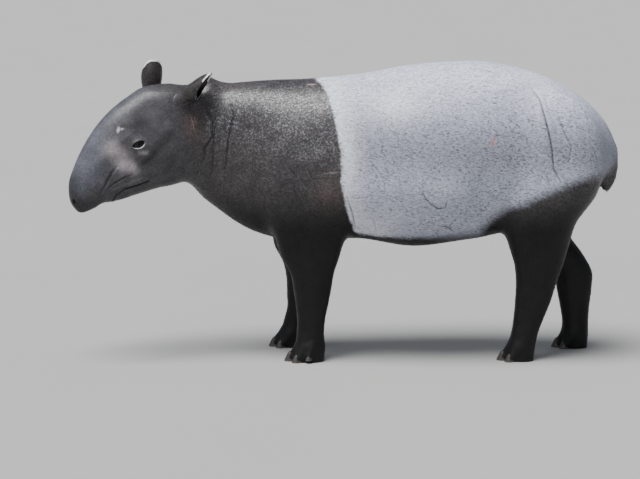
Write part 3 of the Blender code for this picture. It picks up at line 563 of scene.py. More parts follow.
def make_lumps():
    """Each lump of the body with the radius of the fillet that joins it to those before."""
    axes = [(1, 0, 0), (0, 0, 1), (0, 1, 0)]
    trunk = [(*row, 0.0) for row in TRUNK]
    head = [(*row, 0.0) for row in HEAD]
    lumps = [(Loft(trunk, TRUNK_ENDS, (0, 0, 0), axes, (2.1, 2.2), 1.88), 0)]
    lumps.append((Loft(head, HEAD_ENDS, head_origin(), head_axes(), (1.9, 2.2), 2.2), 0.07))
    for side, share in ((-1, 0.0), (1, -1.0)):
        lumps.append((leg_loft(FORELEG, FORELEG_ENDS, side, share), 0.05))
    for side, share in ((-1, 0.0), (1, 1.0)):
        lumps.append((leg_loft(HINDLEG, HINDLEG_ENDS, side, share), 0.06))
    for _, (origin, ahead, _, size) in all_toes():
        root = origin - ahead * 0.040 * size + (0, 0, 0.050)
        tip = origin - ahead * 0.004 * size + (0, 0, 0.012)
        lumps.append((Limb(((root, 0.024 * size), (tip, 0.019 * size))), 0.016))
    for side in (-1, 1):
        centre = eye_centre(side, lumps[1][0].field)
        ball = Limb(((centre, EYE_RADIUS + LID_THICK), (centre + 1e-5, EYE_RADIUS + LID_THICK)))
        lumps.append((ball, 0.022))
    lumps.append((Limb(TAIL), 0.018))
    return lumps


LUMPS = make_lumps()
EAR_CUPS = {name: Ear(*place) for name, place in EARS.items()}
EYES = {name: eye_centre(side, LUMPS[1][0].field) for name, side in (("left", -1), ("right", 1))}


def swell(points, swells):
    """How far the swellings lift the surface: height * exp(-(distance / reach)^2), on both sides."""
    total = np.zeros(len(points))
    mirrored = points * (1, -1, 1)
    for centre, radii, height in swells:
        for side in (points, mirrored) if centre[1] > 0 else (points,):
            total += height * np.exp(-(((side - centre) / radii) ** 2).sum(1))
    return total


def add_lump(total, points, lump, radius):
    """Joins a small lump into the field, worked out only for the points that it can reach."""
    low = lump.points.min(0) - lump.radii.max() - radius
    high = lump.points.max(0) + lump.radii.max() + radius
    near = ((points > low) & (points < high)).all(1)
    total[near] = smooth_min(total[near], lump.field(points[near]), radius)


def body_field(points):
    """The whole animal, about the distance from its skin: lumps joined with fillets, less swellings."""
    total = LUMPS[0][0].field(points)
    for lump, radius in LUMPS[1:]:
        if isinstance(lump, Limb):
            add_lump(total, points, lump, radius)
        else:
            total = smooth_min(total, lump.field(points), radius)
    s, n, y = on_head(points)
    swells = [((s0, y0, n0), (rs, ry, rn), h) for (s0, n0, y0), (rs, rn, ry), h in HEAD_SWELLS]
    total -= swell(points, BODY_SWELLS) + swell(np.stack([s, y, n], -1), swells)
    for ear in EAR_CUPS.values():
        near = np.linalg.norm(points - ear.base - 0.06 * ear.along, axis=1) < 0.14
        total[near] = smooth_min(total[near], ear.field(points[near]), 0.012)
    return total + SKIN_DEPTH


def slope_of(points, value, step=0.0004):
    """The field's gradient, from a small step along each axis."""
    return np.stack([(body_field(points + step * axis) - value) / step for axis in np.eye(3)], -1)


def settle(points, rounds=6, limit=0.006):
    """Newton steps along the field's slope until the points lie where it is zero."""
    for _ in range(rounds):
        value = body_field(points)
        slope = slope_of(points, value)
        move = -(value / np.maximum((slope**2).sum(1), 0.05))[:, None] * slope
        length = np.linalg.norm(move, axis=1, keepdims=True)
        points = points + move * np.minimum(1, limit / np.maximum(length, 1e-9))
    return points


def seen(points):
    """Where the camera's ray through each point meets the plane y = 0, the far side mirrored."""
    camera = np.array(CAMERA)
    t = -camera[1] / (-np.abs(points[:, 1]) - camera[1])
    return camera[[0, 2]] + (points[:, [0, 2]] - camera[[0, 2]]) * t[:, None]


def to_line(flat, line):
    """Distance of 2-D points from a bent line, and the share of its length at the nearest place."""
    line = np.array(line, float)
    lengths = np.linalg.norm(np.diff(line, axis=0), axis=1)
    before = np.concatenate([[0], np.cumsum(lengths)])
    best = np.full(len(flat), np.inf)
    share = np.zeros(len(flat))
    for a, b, length, start in zip(line, line[1:], lengths, before):
        t = np.clip((flat - a) @ (b - a) / length**2, 0, 1)
        off = np.linalg.norm(flat - a - t[:, None] * (b - a), axis=1)
        nearer = off < best
        best = np.where(nearer, off, best)
        share = np.where(nearer, (start + t * length) / before[-1], share)
    return best, share


def saddle_distance(points):
    """How far inside the white saddle's edge each point is, below zero outside."""
    flat = seen(points)
    line = np.array(SADDLE + SADDLE[:1])
    off, _ = to_line(flat, line)
    inside = np.zeros(len(flat), bool)
    for (ax, az), (bx, bz) in zip(line, line[1:]):
        crosses = (az > flat[:, 1]) != (bz > flat[:, 1])
        slant = ax + (flat[:, 1] - az) * (bx - ax) / (bz - az if bz != az else 1e-9)
        inside ^= crosses & (flat[:, 0] < slant)
    return np.where(inside, off, -off)


def eye_frame(name):
    """Centre of the eye, and the directions along its opening to the front, up, and outward."""
    side = -1 if name == "left" else 1
    along = unit(head_axes()[0] * 0.89 + head_axes()[1] * 0.45)
    outward = unit(head_axes()[2] * side)
    up = unit(np.cross(outward, along) * side)
    return EYES[name], along, up, outward


def lid_edge(turn, grow=0.0):
    """The opening's outline: an almond, a = A cos t, b = B sin t |sin t|^0.35, higher above than below."""
    a = (LID_OPENING[0] + grow) * np.cos(turn)
    lift = np.where(np.sin(turn) > 0, 1.0, 0.92) * LID_OPENING[1] + grow
    return a, lift * np.sin(turn) * np.abs(np.sin(turn)) ** 0.35


def lid_distance(points, name):
    """How far outside the opening between the lids each point is, seen along the eye's axis."""
    centre, along, up, outward = eye_frame(name)
    off = points - centre
    turn = np.linspace(0, 2 * math.pi, 49)
    flat = np.stack([off @ along, off @ up], -1)
    edge = np.stack(lid_edge(turn), -1)
    away, _ = to_line(flat, edge)
    a, b = np.abs(flat[:, 0]), flat[:, 1]
    t = np.arccos(np.clip(a / LID_OPENING[0], 0, 1))
    height = lid_edge(np.where(b > 0, t, -t))[1]
    inside = (a < LID_OPENING[0]) & (np.abs(b) < np.abs(height))
    front = off @ outward > 0
    return np.where(inside, -away, away), front


def add_object(name, mesh):
    """An object for the mesh, at the origin."""
    obj = bpy.data.objects.new(name, mesh)
    bpy.context.scene.collection.objects.link(obj)
    return obj


def bake(obj):
    """Replaces the object's mesh by what its modifiers make of it."""
    graph = bpy.context.evaluated_depsgraph_get()
    mesh = bpy.data.meshes.new_from_object(obj.evaluated_get(graph))
    obj.modifiers.clear()
    obj.data = mesh


def get_points(mesh):
    """The mesh's points as rows of X, Y, Z."""
    points = np.empty(len(mesh.vertices) * 3)
    mesh.vertices.foreach_get("co", points)
    return points.reshape(-1, 3)


def set_points(mesh, points):
    """Moves the mesh's points."""
    mesh.vertices.foreach_set("co", points.ravel())
    mesh.update()


def get_normals(mesh):
    """The directions in which the mesh's points face."""
    normals = np.empty(len(mesh.vertices) * 3)
    mesh.vertices.foreach_get("normal", normals)
    return normals.reshape(-1, 3)


def wanted_size(points):
    """The length of edge that each place of the skin needs, smallest at the eyes and the mouth."""
    size = np.full(len(points), 0.014)
    x, y, z = points.T
    s, n, across = on_head(points)
    size[(x < -0.36) & (z > 0.55)] = 0.0075
    size[z < 0.13] = 0.0075
    size[z < 0.062] = 0.0040
    size[(s > 0.02) & (x < -0.60)] = 0.0075
    size[(s > 0.46) & (x < -0.60)] = 0.0040
    for cup in EAR_CUPS.values():
        size[np.linalg.norm(points - cup.base, axis=1) < 0.065] = 0.0036
    flat = seen(points)
    for line, _, width, far, _, _ in FOLDS:
        off, _ = to_line(flat, line)
        off[(np.abs(y) < 0.03) & (z < 0.95)] = 1
        off[(y > 0) & (far == 0)] = 1
        for reach, fine in ((0.018, 0.0075), (0.010, 0.0040), (0.0036, 0.0019)):
            near = (off < reach + 0.3 * (width - 0.006)) & (z > 0.4)
            size[near] = np.minimum(size[near], fine)
    side = np.stack([s, n], -1)
    lines = (
        (MOUTH, 0.034, 0.0040), (NOSE_CREASE, 0.034, 0.0040), (MOUTH, 0.009, 0.0019),
        (MOUTH, 0.0034, 0.0010), (LIP_CREASE, 0.008, 0.0019), (NOSE_CREASE, 0.009, 0.0019),
    )
    for line, reach, fine in lines:
        off, _ = to_line(side, line)
        near = (off < reach) & (x < -0.6)
        size[near] = np.minimum(size[near], fine)
    nostril = np.hypot(n - NOSTRIL_PLACE[0], np.abs(across) - NOSTRIL_PLACE[1]) < 0.020
    size[nostril & (s > 0.50) & (x < -0.6)] = 0.0019
    for name, centre in EYES.items():
        off = np.linalg.norm(points - centre, axis=1)
        size[off < 0.060] = np.minimum(size[off < 0.060], 0.0040)
        size[off < 0.036] = 0.0019
        away, front = lid_distance(points, name)
        size[(np.abs(away) < 0.003) & front & (off < 0.03)] = 0.0010
    return size


def refine(obj, level):
    """Halves the edges that are longer than their place needs, and settles the new points."""
    mesh = obj.data
    wanted = wanted_size(get_points(mesh)) < level * 0.72
    ends = np.empty(len(mesh.edges) * 2, np.int32)
    mesh.edges.foreach_get("vertices", ends)
    chosen = wanted[ends.reshape(-1, 2)].all(1)
    bm = bmesh.new()
    bm.from_mesh(mesh)
    bm.edges.ensure_lookup_table()
    edges = [bm.edges[i] for i in np.flatnonzero(chosen)]
    bmesh.ops.subdivide_edges(bm, edges=edges, cuts=1, use_grid_fill=True)
    before = len(mesh.vertices)
    bm.to_mesh(mesh)
    bm.free()
    points = get_points(mesh)
    points[before:] = settle(points[before:], 3)
    set_points(mesh, points)


def cut_soles(obj):
    """Cuts the soles flat a little above the floor and closes them."""
    bm = bmesh.new()
    bm.from_mesh(obj.data)
    geometry = bm.verts[:] + bm.edges[:] + bm.faces[:]
    bmesh.ops.bisect_plane(
        bm, geom=geometry, dist=1e-5, plane_co=(0, 0, SOLE), plane_no=(0, 0, -1), clear_outer=True
    )
    rim = [edge for edge in bm.edges if edge.is_boundary]
    bmesh.ops.holes_fill(bm, edges=rim, sides=0)
    bmesh.ops.triangulate(bm, faces=[face for face in bm.faces if len(face.verts) > 4])
    bmesh.ops.recalc_face_normals(bm, faces=bm.faces)
    bm.to_mesh(obj.data)
    bm.free()


def fold_relief(points, normals):
    """Creases in the hide: a furrow -d exp(-(r/0.35w)^2) between two low broad ridges. Gives the height,
    the darkness (painted shade in the furrows, the scratches' own dark) and the pinkness of each point."""
    flat = seen(points)
    height, shade, pink = np.zeros((3, len(points)))
    facing = smooth_step(0.15, 0.45, np.abs(normals[:, 1])) * smooth_step(0.02, 0.06, np.abs(points[:, 1]))
    for line, depth, width, far, dark, flesh in FOLDS:
        off, share = to_line(flat, line)
        ends = np.sqrt(np.clip(np.sin(math.pi * np.clip(0.06 + 0.88 * share, 0, 1)), 0, 1))
        strength = ends * facing * np.where(points[:, 1] < 0, 1.0, far)
        if line[0][1] > 0.96 and line[0][0] > -0.2:  # on the ridge of the back, which faces up
            strength = ends * (points[:, 1] < 0)
        furrow = np.exp(-((off / (0.35 * width)) ** 2))
        ridge = np.exp(-(((off - 1.1 * width) / (0.8 * width)) ** 2))
        height += depth * strength * (0.40 * ridge - furrow)
        shade = np.maximum(shade, dark * strength * furrow)
        pink = np.maximum(pink, flesh * strength * np.exp(-((off / (0.5 * width)) ** 2)))
    return height, shade, pink


def face_relief(points):
    """Mouth, lips, creases of the nose and around the eyes, and nostrils, as height and painted shade."""
    s, n, across = on_head(points)
    height = np.zeros(len(points))
    shade = np.zeros(len(points))
    here = (points[:, 0] < -0.6) & (s > 0.0)
    side = np.stack([s, n], -1)
    off, share = to_line(side, MOUTH)
    ends = smooth_step(0.0, 0.10, share) * smooth_step(1.03, 0.97, share)
    furrow = np.exp(-((off / 0.0021) ** 2))
    lips = np.exp(-(((off - 0.0075) / 0.0045) ** 2))
    height += ends * (0.0012 * lips - 0.0045 * furrow)
    shade = np.maximum(shade, ends * np.exp(-((off / 0.0030) ** 2)))
    for line, depth, width in ((LIP_CREASE, 0.0030, 0.0032), (NOSE_CREASE, 0.0026, 0.0050)):
        off, share = to_line(side, line)
        ends = np.sin(math.pi * np.clip(0.04 + 0.92 * share, 0, 1)) ** 0.6
        furrow = np.exp(-((off / width) ** 2))
        ridge = np.exp(-(((off - 1.8 * width) / (1.3 * width)) ** 2))
        height += ends * depth * (0.4 * ridge - furrow)
        shade = np.maximum(shade, 0.8 * ends * furrow)
    for nostril in (-1, 1):
        out = (n - NOSTRIL_PLACE[0]) / NOSTRIL_SIZE[0]
        aside = (across - nostril * NOSTRIL_PLACE[1]) / NOSTRIL_SIZE[1]
        slit = np.sqrt(out**2 + aside**2)
        front = smooth_step(0.500, 0.530, s)
        height += front * (0.0014 * np.exp(-((slit - 1.7) ** 2)) - 0.0090 * np.exp(-((slit / 0.95) ** 4)))
        shade = np.maximum(shade, front * np.exp(-((slit / 1.05) ** 4)))
    height = np.where(here, height, 0)
    shade = np.where(here, shade, 0)
    for name, centre in EYES.items():
        away, front = lid_distance(points, name)
        near = front & (np.linalg.norm(points - centre, axis=1) < 0.045)
        b = (points - centre) @ eye_frame(name)[2]
        above = smooth_step(-0.002, 0.004, b)
        crease = np.exp(-(((away - 0.0100) / 0.0022) ** 2)) * above
        bag = np.exp(-(((away - 0.0105) / 0.0040) ** 2)) * (1 - above)
        second = np.exp(-(((away - 0.0175) / 0.0020) ** 2)) * (1 - above)
        height += np.where(near, -0.0006 * crease + 0.0008 * bag - 0.0006 * second, 0)
        shade = np.maximum(shade, np.where(near, 0.25 * crease + 0.2 * second, 0))
        # painted shade: the sunk skin between the lids made black
        shade = np.where(near & (away < 0.0010), 1.0, shade)
    return height, shade


def open_lids(points):
    """Sinks the skin between the lids straight back, to 4 mm behind the middle of the eyeball."""
    for name, centre in EYES.items():
        away, front = lid_distance(points, name)
        outward = eye_frame(name)[3]
        off = points - centre
        inside = front & (np.linalg.norm(off, axis=1) < 0.032) & (away < 0.0040)
        sunk = points - (off @ outward + 0.004)[:, None] * outward
        points = np.where(inside[:, None], sunk, points)
    return points


def rough_object(name, lumps):
    """The lumps' own rough surfaces together in one object."""
    bm = bmesh.new()
    for lump in lumps:
        lump.mesh_into(bm)
    bmesh.ops.recalc_face_normals(bm, faces=bm.faces)
    mesh = bpy.data.meshes.new(name)
    bm.to_mesh(mesh)
    bm.free()
    return add_object(name, mesh)


def build_skin():
    """The flesh, tail and ears as one closed surface, finer where there is more to show."""
    skin = rough_object("skin", [lump for lump, _ in LUMPS])
    fuse = skin.modifiers.new("fuse", "REMESH")
    fuse.mode = "VOXEL"
    fuse.voxel_size = SKIN_VOXEL
    bake(skin)
    set_points(skin.data, settle(get_points(skin.data)))
    refine(skin, SKIN_VOXEL)
    refine(skin, SKIN_VOXEL / 2)
    for name, cup in EAR_CUPS.items():
        ear = rough_object("cup_" + name, [cup])
        join = skin.modifiers.new("ear", "BOOLEAN")
        join.operation = "UNION"
        join.solver = "MANIFOLD"
        join.object = ear
        bake(skin)
        bpy.data.objects.remove(ear)
    points = get_points(skin.data)
    near = np.zeros(len(points), bool)
    for cup in EAR_CUPS.values():
        near |= np.linalg.norm(points - cup.base - 0.05 * cup.along, axis=1) < 0.125
    points[near] = settle(points[near], 6, 0.003)
    set_points(skin.data, points)
    refine(skin, SKIN_VOXEL / 4)
    refine(skin, SKIN_VOXEL / 8)
    return skin


def tidy_skin(skin):
    """Presses the creases, lips and nostrils into the settled skin, opens the lids and cuts the soles."""
    mesh = skin.data
    points = get_points(mesh)
    normals = unit(slope_of(points, body_field(points)))
    folds, _, _ = fold_relief(points, normals)
    face, _ = face_relief(points)
    points = points + (folds + face)[:, None] * normals
    points = open_lids(points)
    set_points(mesh, points)
    cut_soles(skin)
    mesh.shade_smooth()


def ear_share(points):
    """0 away from the ears and 1 on them, the height along the ear, whether it is the inside of the cup
    (painted dark as shade), the distance from its rim, and the pale strap along the rim's front."""
    share = np.zeros(len(points))
    height = np.zeros(len(points))
    shaded_inside = np.zeros(len(points))
    rim_gap = np.full(len(points), 1.0)
    strap = np.zeros(len(points))
    for cup in EAR_CUPS.values():
        h, reach, turn = cup.local(points)
        near = (h > -0.01) & (h < EAR_LENGTH * 1.1) & (reach < 0.047)
        on = near * smooth_step(0.0, 0.02, h)
        gap = EAR_LENGTH * cup.rim(turn) - h
        middle = cup.radius(np.clip(h / EAR_LENGTH, 0, 1)) - EAR_THICK / 2
        height = np.where(on > share, h / EAR_LENGTH, height)
        rim_gap = np.where(on > share, gap, rim_gap)
        shaded_inside = np.where(on > share, (reach < middle - 0.0006) & (h > 0.02), shaded_inside)
        share = np.maximum(share, on)
        strap = np.maximum(strap, on * smooth_step(0.008, 0.004, gap) * smooth_step(110, 140, turn))
    return share, height, shaded_inside, rim_gap, strap


def paint_values(points, normals):
    """The markings at each point, with painted light and shade, shared by skin and coat. Lines and patches
    fade as exp(-(r / reach)^2), and the rest change from place to place by smooth steps."""
    _, fold_shade, pink = fold_relief(points, normals)
    _, face_shade = face_relief(points)
    s, n, across = on_head(points)
    head = smooth_step(-0.04, 0.14, s) * smooth_step(-0.50, -0.62, points[:, 0])
    share, height, shaded_inside, rim_gap, strap = ear_share(points)
    rim = share * smooth_step(0.019, 0.010, rim_gap) * smooth_step(0.66, 0.76, height) + 0.8 * strap
    nose = head * smooth_step(0.505, 0.545, s)
    # painted light and shade of the head's forms, its paler and warmer patches, and the scar over the eye
    face_shading_and_marks = np.zeros(len(points))
    for line, reach, value in FACE_SHADING_AND_MARKS:
        off, _ = to_line(np.stack([s, n], -1), line)
        only_near = (across < 0) if value > 2 else 1
        face_shading_and_marks += only_near * value * np.exp(-((off / reach) ** 2)) * (points[:, 0] < -0.6) * (1 - share)
    flat = seen(points)
    inside = saddle_distance(points)
    # the saddle brighter inside its front edge and in the patches: partly painted light on its top, partly
    # whiter hair
    lit_and_whiter = np.exp(-((inside / 0.065) ** 2)) * smooth_step(0.24, 0.08, flat[:, 0])
    for x, z, wide, high, share_of in LIT_AND_WHITER_PATCHES:
        lit_and_whiter += share_of * np.exp(-(((flat[:, 0] - x) / wide) ** 2) - ((flat[:, 1] - z) / high) ** 2)
    # painted highlight: pale specks laid into the black hide where the upper neck and shoulder catch the
    # light
    painted_gleam_reach = 0.10 + 0.05 * smooth_step(-0.42, -0.30, flat[:, 0])
    return {
        "saddle": inside,
        "soft": smooth_step(0.10, 0.50, flat[:, 0]),
        # painted shade in the creases, mouth, nostrils and around the lids, with the scratches' own dark
        "crease_shade_and_scars": np.maximum(fold_shade, face_shade) * (1 - share),
        "pink": pink,
        "face_shading_and_marks": face_shading_and_marks,
        "rim": np.clip(rim, 0, 1),
        "shaded_inside": shaded_inside * share,
        "ear": share,
        # the legs and low body: hair lying down, no gloss, and a darker black that is partly painted shade
        "leg": smooth_step(0.66, 0.47, points[:, 2]),
        "head": head,
        # painted light on the top of the head and the bridge of the nose
        "lit_top_of_head": head * (1 - nose)
        * smooth_step(0.02, 0.12, n - 0.055 + 0.10 * smooth_step(0.25, 0.45, s)),
        "brown": np.exp(-(((flat[:, 0] + 0.05) / 0.06) ** 2 + ((flat[:, 1] - 0.57) / 0.07) ** 2))
        + np.exp(-(((flat[:, 0] + 0.547) / 0.035) ** 2 + ((flat[:, 1] - 0.835) / 0.060) ** 2)),
        "lit_and_whiter": np.clip(lit_and_whiter, 0, 1),
        # painted shade: the white greyed on the middle and lower flank, where less of the light from above
        # falls; it also thickens the dark specks there
        "middle": np.maximum(
            np.exp(-(((flat[:, 1] - 0.745) / 0.16) ** 2)), 0.60 * smooth_step(0.75, 0.65, flat[:, 1])
        ),
        "painted_gleam": np.exp(-(((flat[:, 1] - 0.87) / painted_gleam_reach) ** 2))
        * smooth_step(-0.53, -0.44, flat[:, 0]) * (1 - share),
    }


def store_values(mesh, values):
    """Keeps each named value on the mesh's points for the materials."""
    for name, value in values.items():
        attribute = mesh.attributes.new(name, "FLOAT", "POINT")
        attribute.data.foreach_set("value", np.ascontiguousarray(value, np.float32))


def grid_mesh(name, rings, caps=(False, False)):
    """A mesh from a grid of points: rows are rings, joined by quads; a cap closes an end with a fan."""
    rings = np.asarray(rings, float)
    rows, cols = rings.shape[:2]
    left = np.arange(rows * cols).reshape(rows, cols)
    right = np.roll(left, -1, 1)
    quads = np.stack([left[:-1], right[:-1], right[1:], left[1:]], -1).reshape(-1, 4)
    points = [rings.reshape(-1, 3)]
    faces = [quads.tolist()]
    count = rows * cols
    for cap, row, flip in ((caps[0], 0, True), (caps[1], rows - 1, False)):
        if cap:
            points.append(rings[row].mean(0)[None])
            ring, after = left[row], right[row]
            first, second = (after, ring) if flip else (ring, after)
            faces.append(np.stack([first, second, np.full(cols, count)], -1).tolist())
            count += 1
    mesh = bpy.data.meshes.new(name)
    mesh.from_pydata(np.concatenate(points), [], sum(faces, []))
    if all(caps):
        bm = bmesh.new()
        bm.from_mesh(mesh)
        bmesh.ops.recalc_face_normals(bm, faces=bm.faces)
        bm.to_mesh(mesh)
        bm.free()
    mesh.shade_smooth()
    return add_object(name, mesh)


def build_eye(name):
    """The eyeball with its bulge in front: radius R (1 + b exp(-(angle / w)^2)) about its axis."""
    centre, along, up, outward = eye_frame(name)
    gaze = unit(outward + 0.06 * along)
    first = unit(np.cross(gaze, up))
    second = np.cross(gaze, first)
    angle = np.linspace(0.02, math.pi - 0.02, 40)[:, None]
    turn = np.linspace(0, 2 * math.pi, 64, endpoint=False)[None]
    radius = (EYE_RADIUS - 0.0002) * (1 + EYE_BULGE[0] * np.exp(-((angle / EYE_BULGE[1]) ** 2)))
    ball = centre + (radius * np.cos(angle))[..., None] * gaze
    ball = ball + (radius * np.sin(angle) * np.cos(turn))[..., None] * first
    ball = ball + (radius * np.sin(angle) * np.sin(turn))[..., None] * second
    eye = grid_mesh(f"eyeball_{name}", ball, caps=(True, True))
    off = get_points(eye.data) - centre
    store_values(eye.data, {"gaze": np.arccos(np.clip(unit(off) @ gaze, -1, 1))})
    return eye


def build_lids(name):
    """The lids' edge: a band around the opening, from the ball over a rounded margin into the skin."""
    centre, along, up, outward = eye_frame(name)
    around = 96
    turn = np.linspace(0, 2 * math.pi, around, endpoint=False)
    rings, shares = [], []
    rows = (  # how far outside the opening, how far lifted, and whether it follows the ball or the hide
        (-0.0005, -0.0012, 1), (0.0000, 0.0000, 1), (0.0004, 0.0009, 1), (0.0010, 0.0016, 0.9),
        (0.0020, 0.0014, 0.5), (0.0032, 0.0009, 0.15), (0.0046, 0.0007, 0), (0.0062, 0.0004, 0),
        (0.0080, 0.0001, 0), (0.0098, -0.0003, 0), (0.0114, -0.0009, 0),
    )
    for grow, lift, hug in rows:
        a, b = lid_edge(turn, grow)
        flat = centre + a[:, None] * along + b[:, None] * up
        depth = np.sqrt(np.maximum(EYE_RADIUS**2 - a**2 - b**2, 0.006**2))
        ball = flat + depth[:, None] * outward
        ball = ball + unit(ball - centre) * lift
        low, high = np.full(around, 0.002), np.full(around, 0.030)
        for _ in range(16):
            middle = (low + high) / 2
            inside = body_field(flat + middle[:, None] * outward) < 0
            low, high = np.where(inside, middle, low), np.where(inside, high, middle)
        hide = flat + low[:, None] * outward
        relief, _ = face_relief(hide)
        hide = hide + unit(slope_of(hide, body_field(hide))) * (lift + relief)[:, None]
        rings.append(hug * ball + (1 - hug) * hide)
        shares.append(np.full(around, grow))
    if np.dot(np.cross(along, up), outward) > 0:  # so that the faces look outwards on either side
        rings, shares = rings[::-1], shares[::-1]
    lids = grid_mesh(f"lids_{name}", np.array(rings))
    grown = np.concatenate(shares)
    edge = smooth_step(0.0030, 0.0012, grown)
    values = paint_values(get_points(lids.data), np.tile(outward, (len(edge), 1)))
    lower = np.tile(smooth_step(0.15, -0.25, np.sin(turn)), len(rings))
    corner = np.tile(smooth_step(0.86, 0.99, np.cos(turn)), len(rings))
    # partly painted highlight: the lower lid's pale margin, as its wet rim catches the light, on its own
    # paler skin
    pale = np.maximum(smooth_step(0.0040, 0.0026, grown) * lower, 0.9 * edge * corner)
    values["margin"] = pale * (grown > 0.0007)
    # painted shade: a dark line under the lower margin, and the upper and back edges of the opening
    # darkened
    below = np.exp(-(((grown - 0.0054) / 0.0014) ** 2)) * lower
    values["crease_shade_and_scars"] = np.maximum(values["crease_shade_and_scars"], np.maximum(0.8 * below, edge * (1 - lower)))
    # the wet edge: glossier, and painted dark as the shade at the opening's edge
    values["wet"] = edge
    store_values(lids.data, values)
    return lids


def build_hoof(name, toe):
    """A toe's horn: superellipse rings from the floor up, narrower and slanted back above, round on top."""
    origin, ahead, across, size = toe
    long, wide, tall = (size * value for value in HOOF_SIZE)
    turn = np.linspace(0, 2 * math.pi, 40, endpoint=False)
    rings = []
    for share, inset in HOOF_RINGS:
        narrow = 1 - 0.30 * share**1.5
        x = (long * narrow - inset) * np.sign(np.cos(turn)) * np.abs(np.cos(turn)) ** 0.9
        y = (wide * narrow - inset) * np.sign(np.sin(turn)) * np.abs(np.sin(turn)) ** 0.9
        height = share * tall * (0.74 + 0.26 * x / long)
        x = x - share * tall * 0.30
        level = origin + x[:, None] * ahead + y[:, None] * across
        rings.append(level + height[:, None] * np.array([0, 0, 1]))
    hoof = grid_mesh(f"horn_{name}", rings, caps=(True, True))
    points = get_points(hoof.data)
    store_values(hoof.data, {"up": (points[:, 2] - origin[2]) / tall})
    return hoof


def lie_of_hair(points, normals):
    """The way the hair points: back and down on the body, down the legs, up the slope of the head."""
    x, y, z = points.T
    s, n, _ = on_head(points)
    body = np.stack([np.full(len(points), 1.0), 0 * x, -0.45 * smooth_step(1.0, 0.8, z)], -1)
    legs = np.stack([np.full(len(points), 0.15), 0 * x, np.full(len(points), -1.0)], -1)
    face = np.tile(-head_axes()[0], (len(points), 1)) + 0.25 * np.array([0, 0, -1.0]) * (n < 0)[:, None]
    leg = smooth_step(0.50, 0.34, z)[:, None]
    head = (smooth_step(-0.02, 0.08, s) * (x < -0.55))[:, None]
    lie = body * (1 - leg) + legs * leg
    lie = lie * (1 - head) + face * head
    for cup in EAR_CUPS.values():
        h, reach, _ = cup.local(points)
        on = ((h > 0.0) & (h < EAR_LENGTH * 1.1) & (reach < 0.046))[:, None]
        lie = np.where(on, cup.along, lie)
    tail = smooth_step(0.93, 0.96, x) * (np.abs(y) < 0.045) * (z < 0.80)
    lie = lie * (1 - tail[:, None]) + np.array([0.05, 0, -1.0]) * tail[:, None]
    lie = lie - (lie * normals).sum(1, keepdims=True) * normals
    return unit(lie)


def scatter(mesh, count, seed):
    """Random roots on the skin, as many on each triangle as its area and its place ask for."""
    mesh.calc_loop_triangles()
    corners = np.empty(len(mesh.loop_triangles) * 3, np.int32)
    mesh.loop_triangles.foreach_get("vertices", corners)
    corners = corners.reshape(-1, 3)
    points = get_points(mesh)
    normals = get_normals(mesh)
    a, b, c = (points[corners[:, k]] for k in range(3))
    area = np.linalg.norm(np.cross(b - a, c - a), axis=1) / 2
    middle = (a + b + c) / 3
    weight = area * hair_density(middle)
    rng = np.random.default_rng(seed)
    edges = np.cumsum(weight) / weight.sum()
    chosen = np.searchsorted(edges, rng.random(count))
    u, v = rng.random((2, count))
    flip = u + v > 1
    u = np.where(flip, 1 - u, u)[:, None]
    v = np.where(flip, 1 - v, v)[:, None]
    ids = corners[chosen]
    root = points[ids[:, 0]] * (1 - u - v) + points[ids[:, 1]] * u + points[ids[:, 2]] * v
    normal = unit(normals[ids[:, 0]] * (1 - u - v) + normals[ids[:, 1]] * u + normals[ids[:, 2]] * v)
    return root, normal, rng


def hair_density(points):
    """How thickly the coat grows: thin on the nose, none under the feet, on the horn or in the eyes."""
    s = on_head(points)[0]
    head = smooth_step(-0.02, 0.05, s) * (points[:, 0] < -0.55)
    thick = 1 + 0.65 * head
    thick = thick * (1 - 0.9 * head * smooth_step(0.50, 0.54, s))
    thick = thick * smooth_step(0.004, 0.03, points[:, 2])
    for name, centre in EYES.items():
        away, front = lid_distance(points, name)
        near = front & (np.linalg.norm(points - centre, axis=1) < 0.045)
        thick = np.where(near, thick * smooth_step(0.008, 0.013, away), thick)
    flat = seen(points)
    for line, _, width, far, _, _ in FOLDS:
        off, _ = to_line(flat, line)
        near = (points[:, 1] < 0) | (far > 0)
        thick = thick * np.where(near, smooth_step(0.2 * width, 0.5 * width, off), 1)
    for _, (origin, ahead, across, size) in all_toes():
        off = points - origin + 0.006 * ahead
        inside = (np.abs(off @ ahead) < 0.027 * size) & (np.abs(off @ across) < 0.022 * size)
        inside &= off[:, 2] < 0.042 * size
        thick = np.where(inside, 0, thick)
    return thick


def hair_sizes(points, rng):
    """Length and width of each tuft: shorter and finer on the head, the feet and the ears' rims."""
    count = len(points)
    s = on_head(points)[0]
    head = smooth_step(-0.02, 0.10, s) * (points[:, 0] < -0.55)
    foot = smooth_step(0.16, 0.05, points[:, 2])
    share, _, _, rim_gap, _ = ear_share(points)
    length = TUFT_LENGTH * (1 - 0.42 * head - 0.15 * foot) * rng.uniform(0.7, 1.25, count)
    short = (0.0045 + 0.0040 * smooth_step(0.005, 0.030, rim_gap)) * rng.uniform(0.7, 1.2, count)
    length = np.where(share > 0.5, short, length)
    width = TUFT_WIDTH * (1 - 0.25 * head - 0.1 * foot) * rng.uniform(0.7, 1.35, count)
    width = np.where(share > 0.5, 0.0008, width)
    return length, width


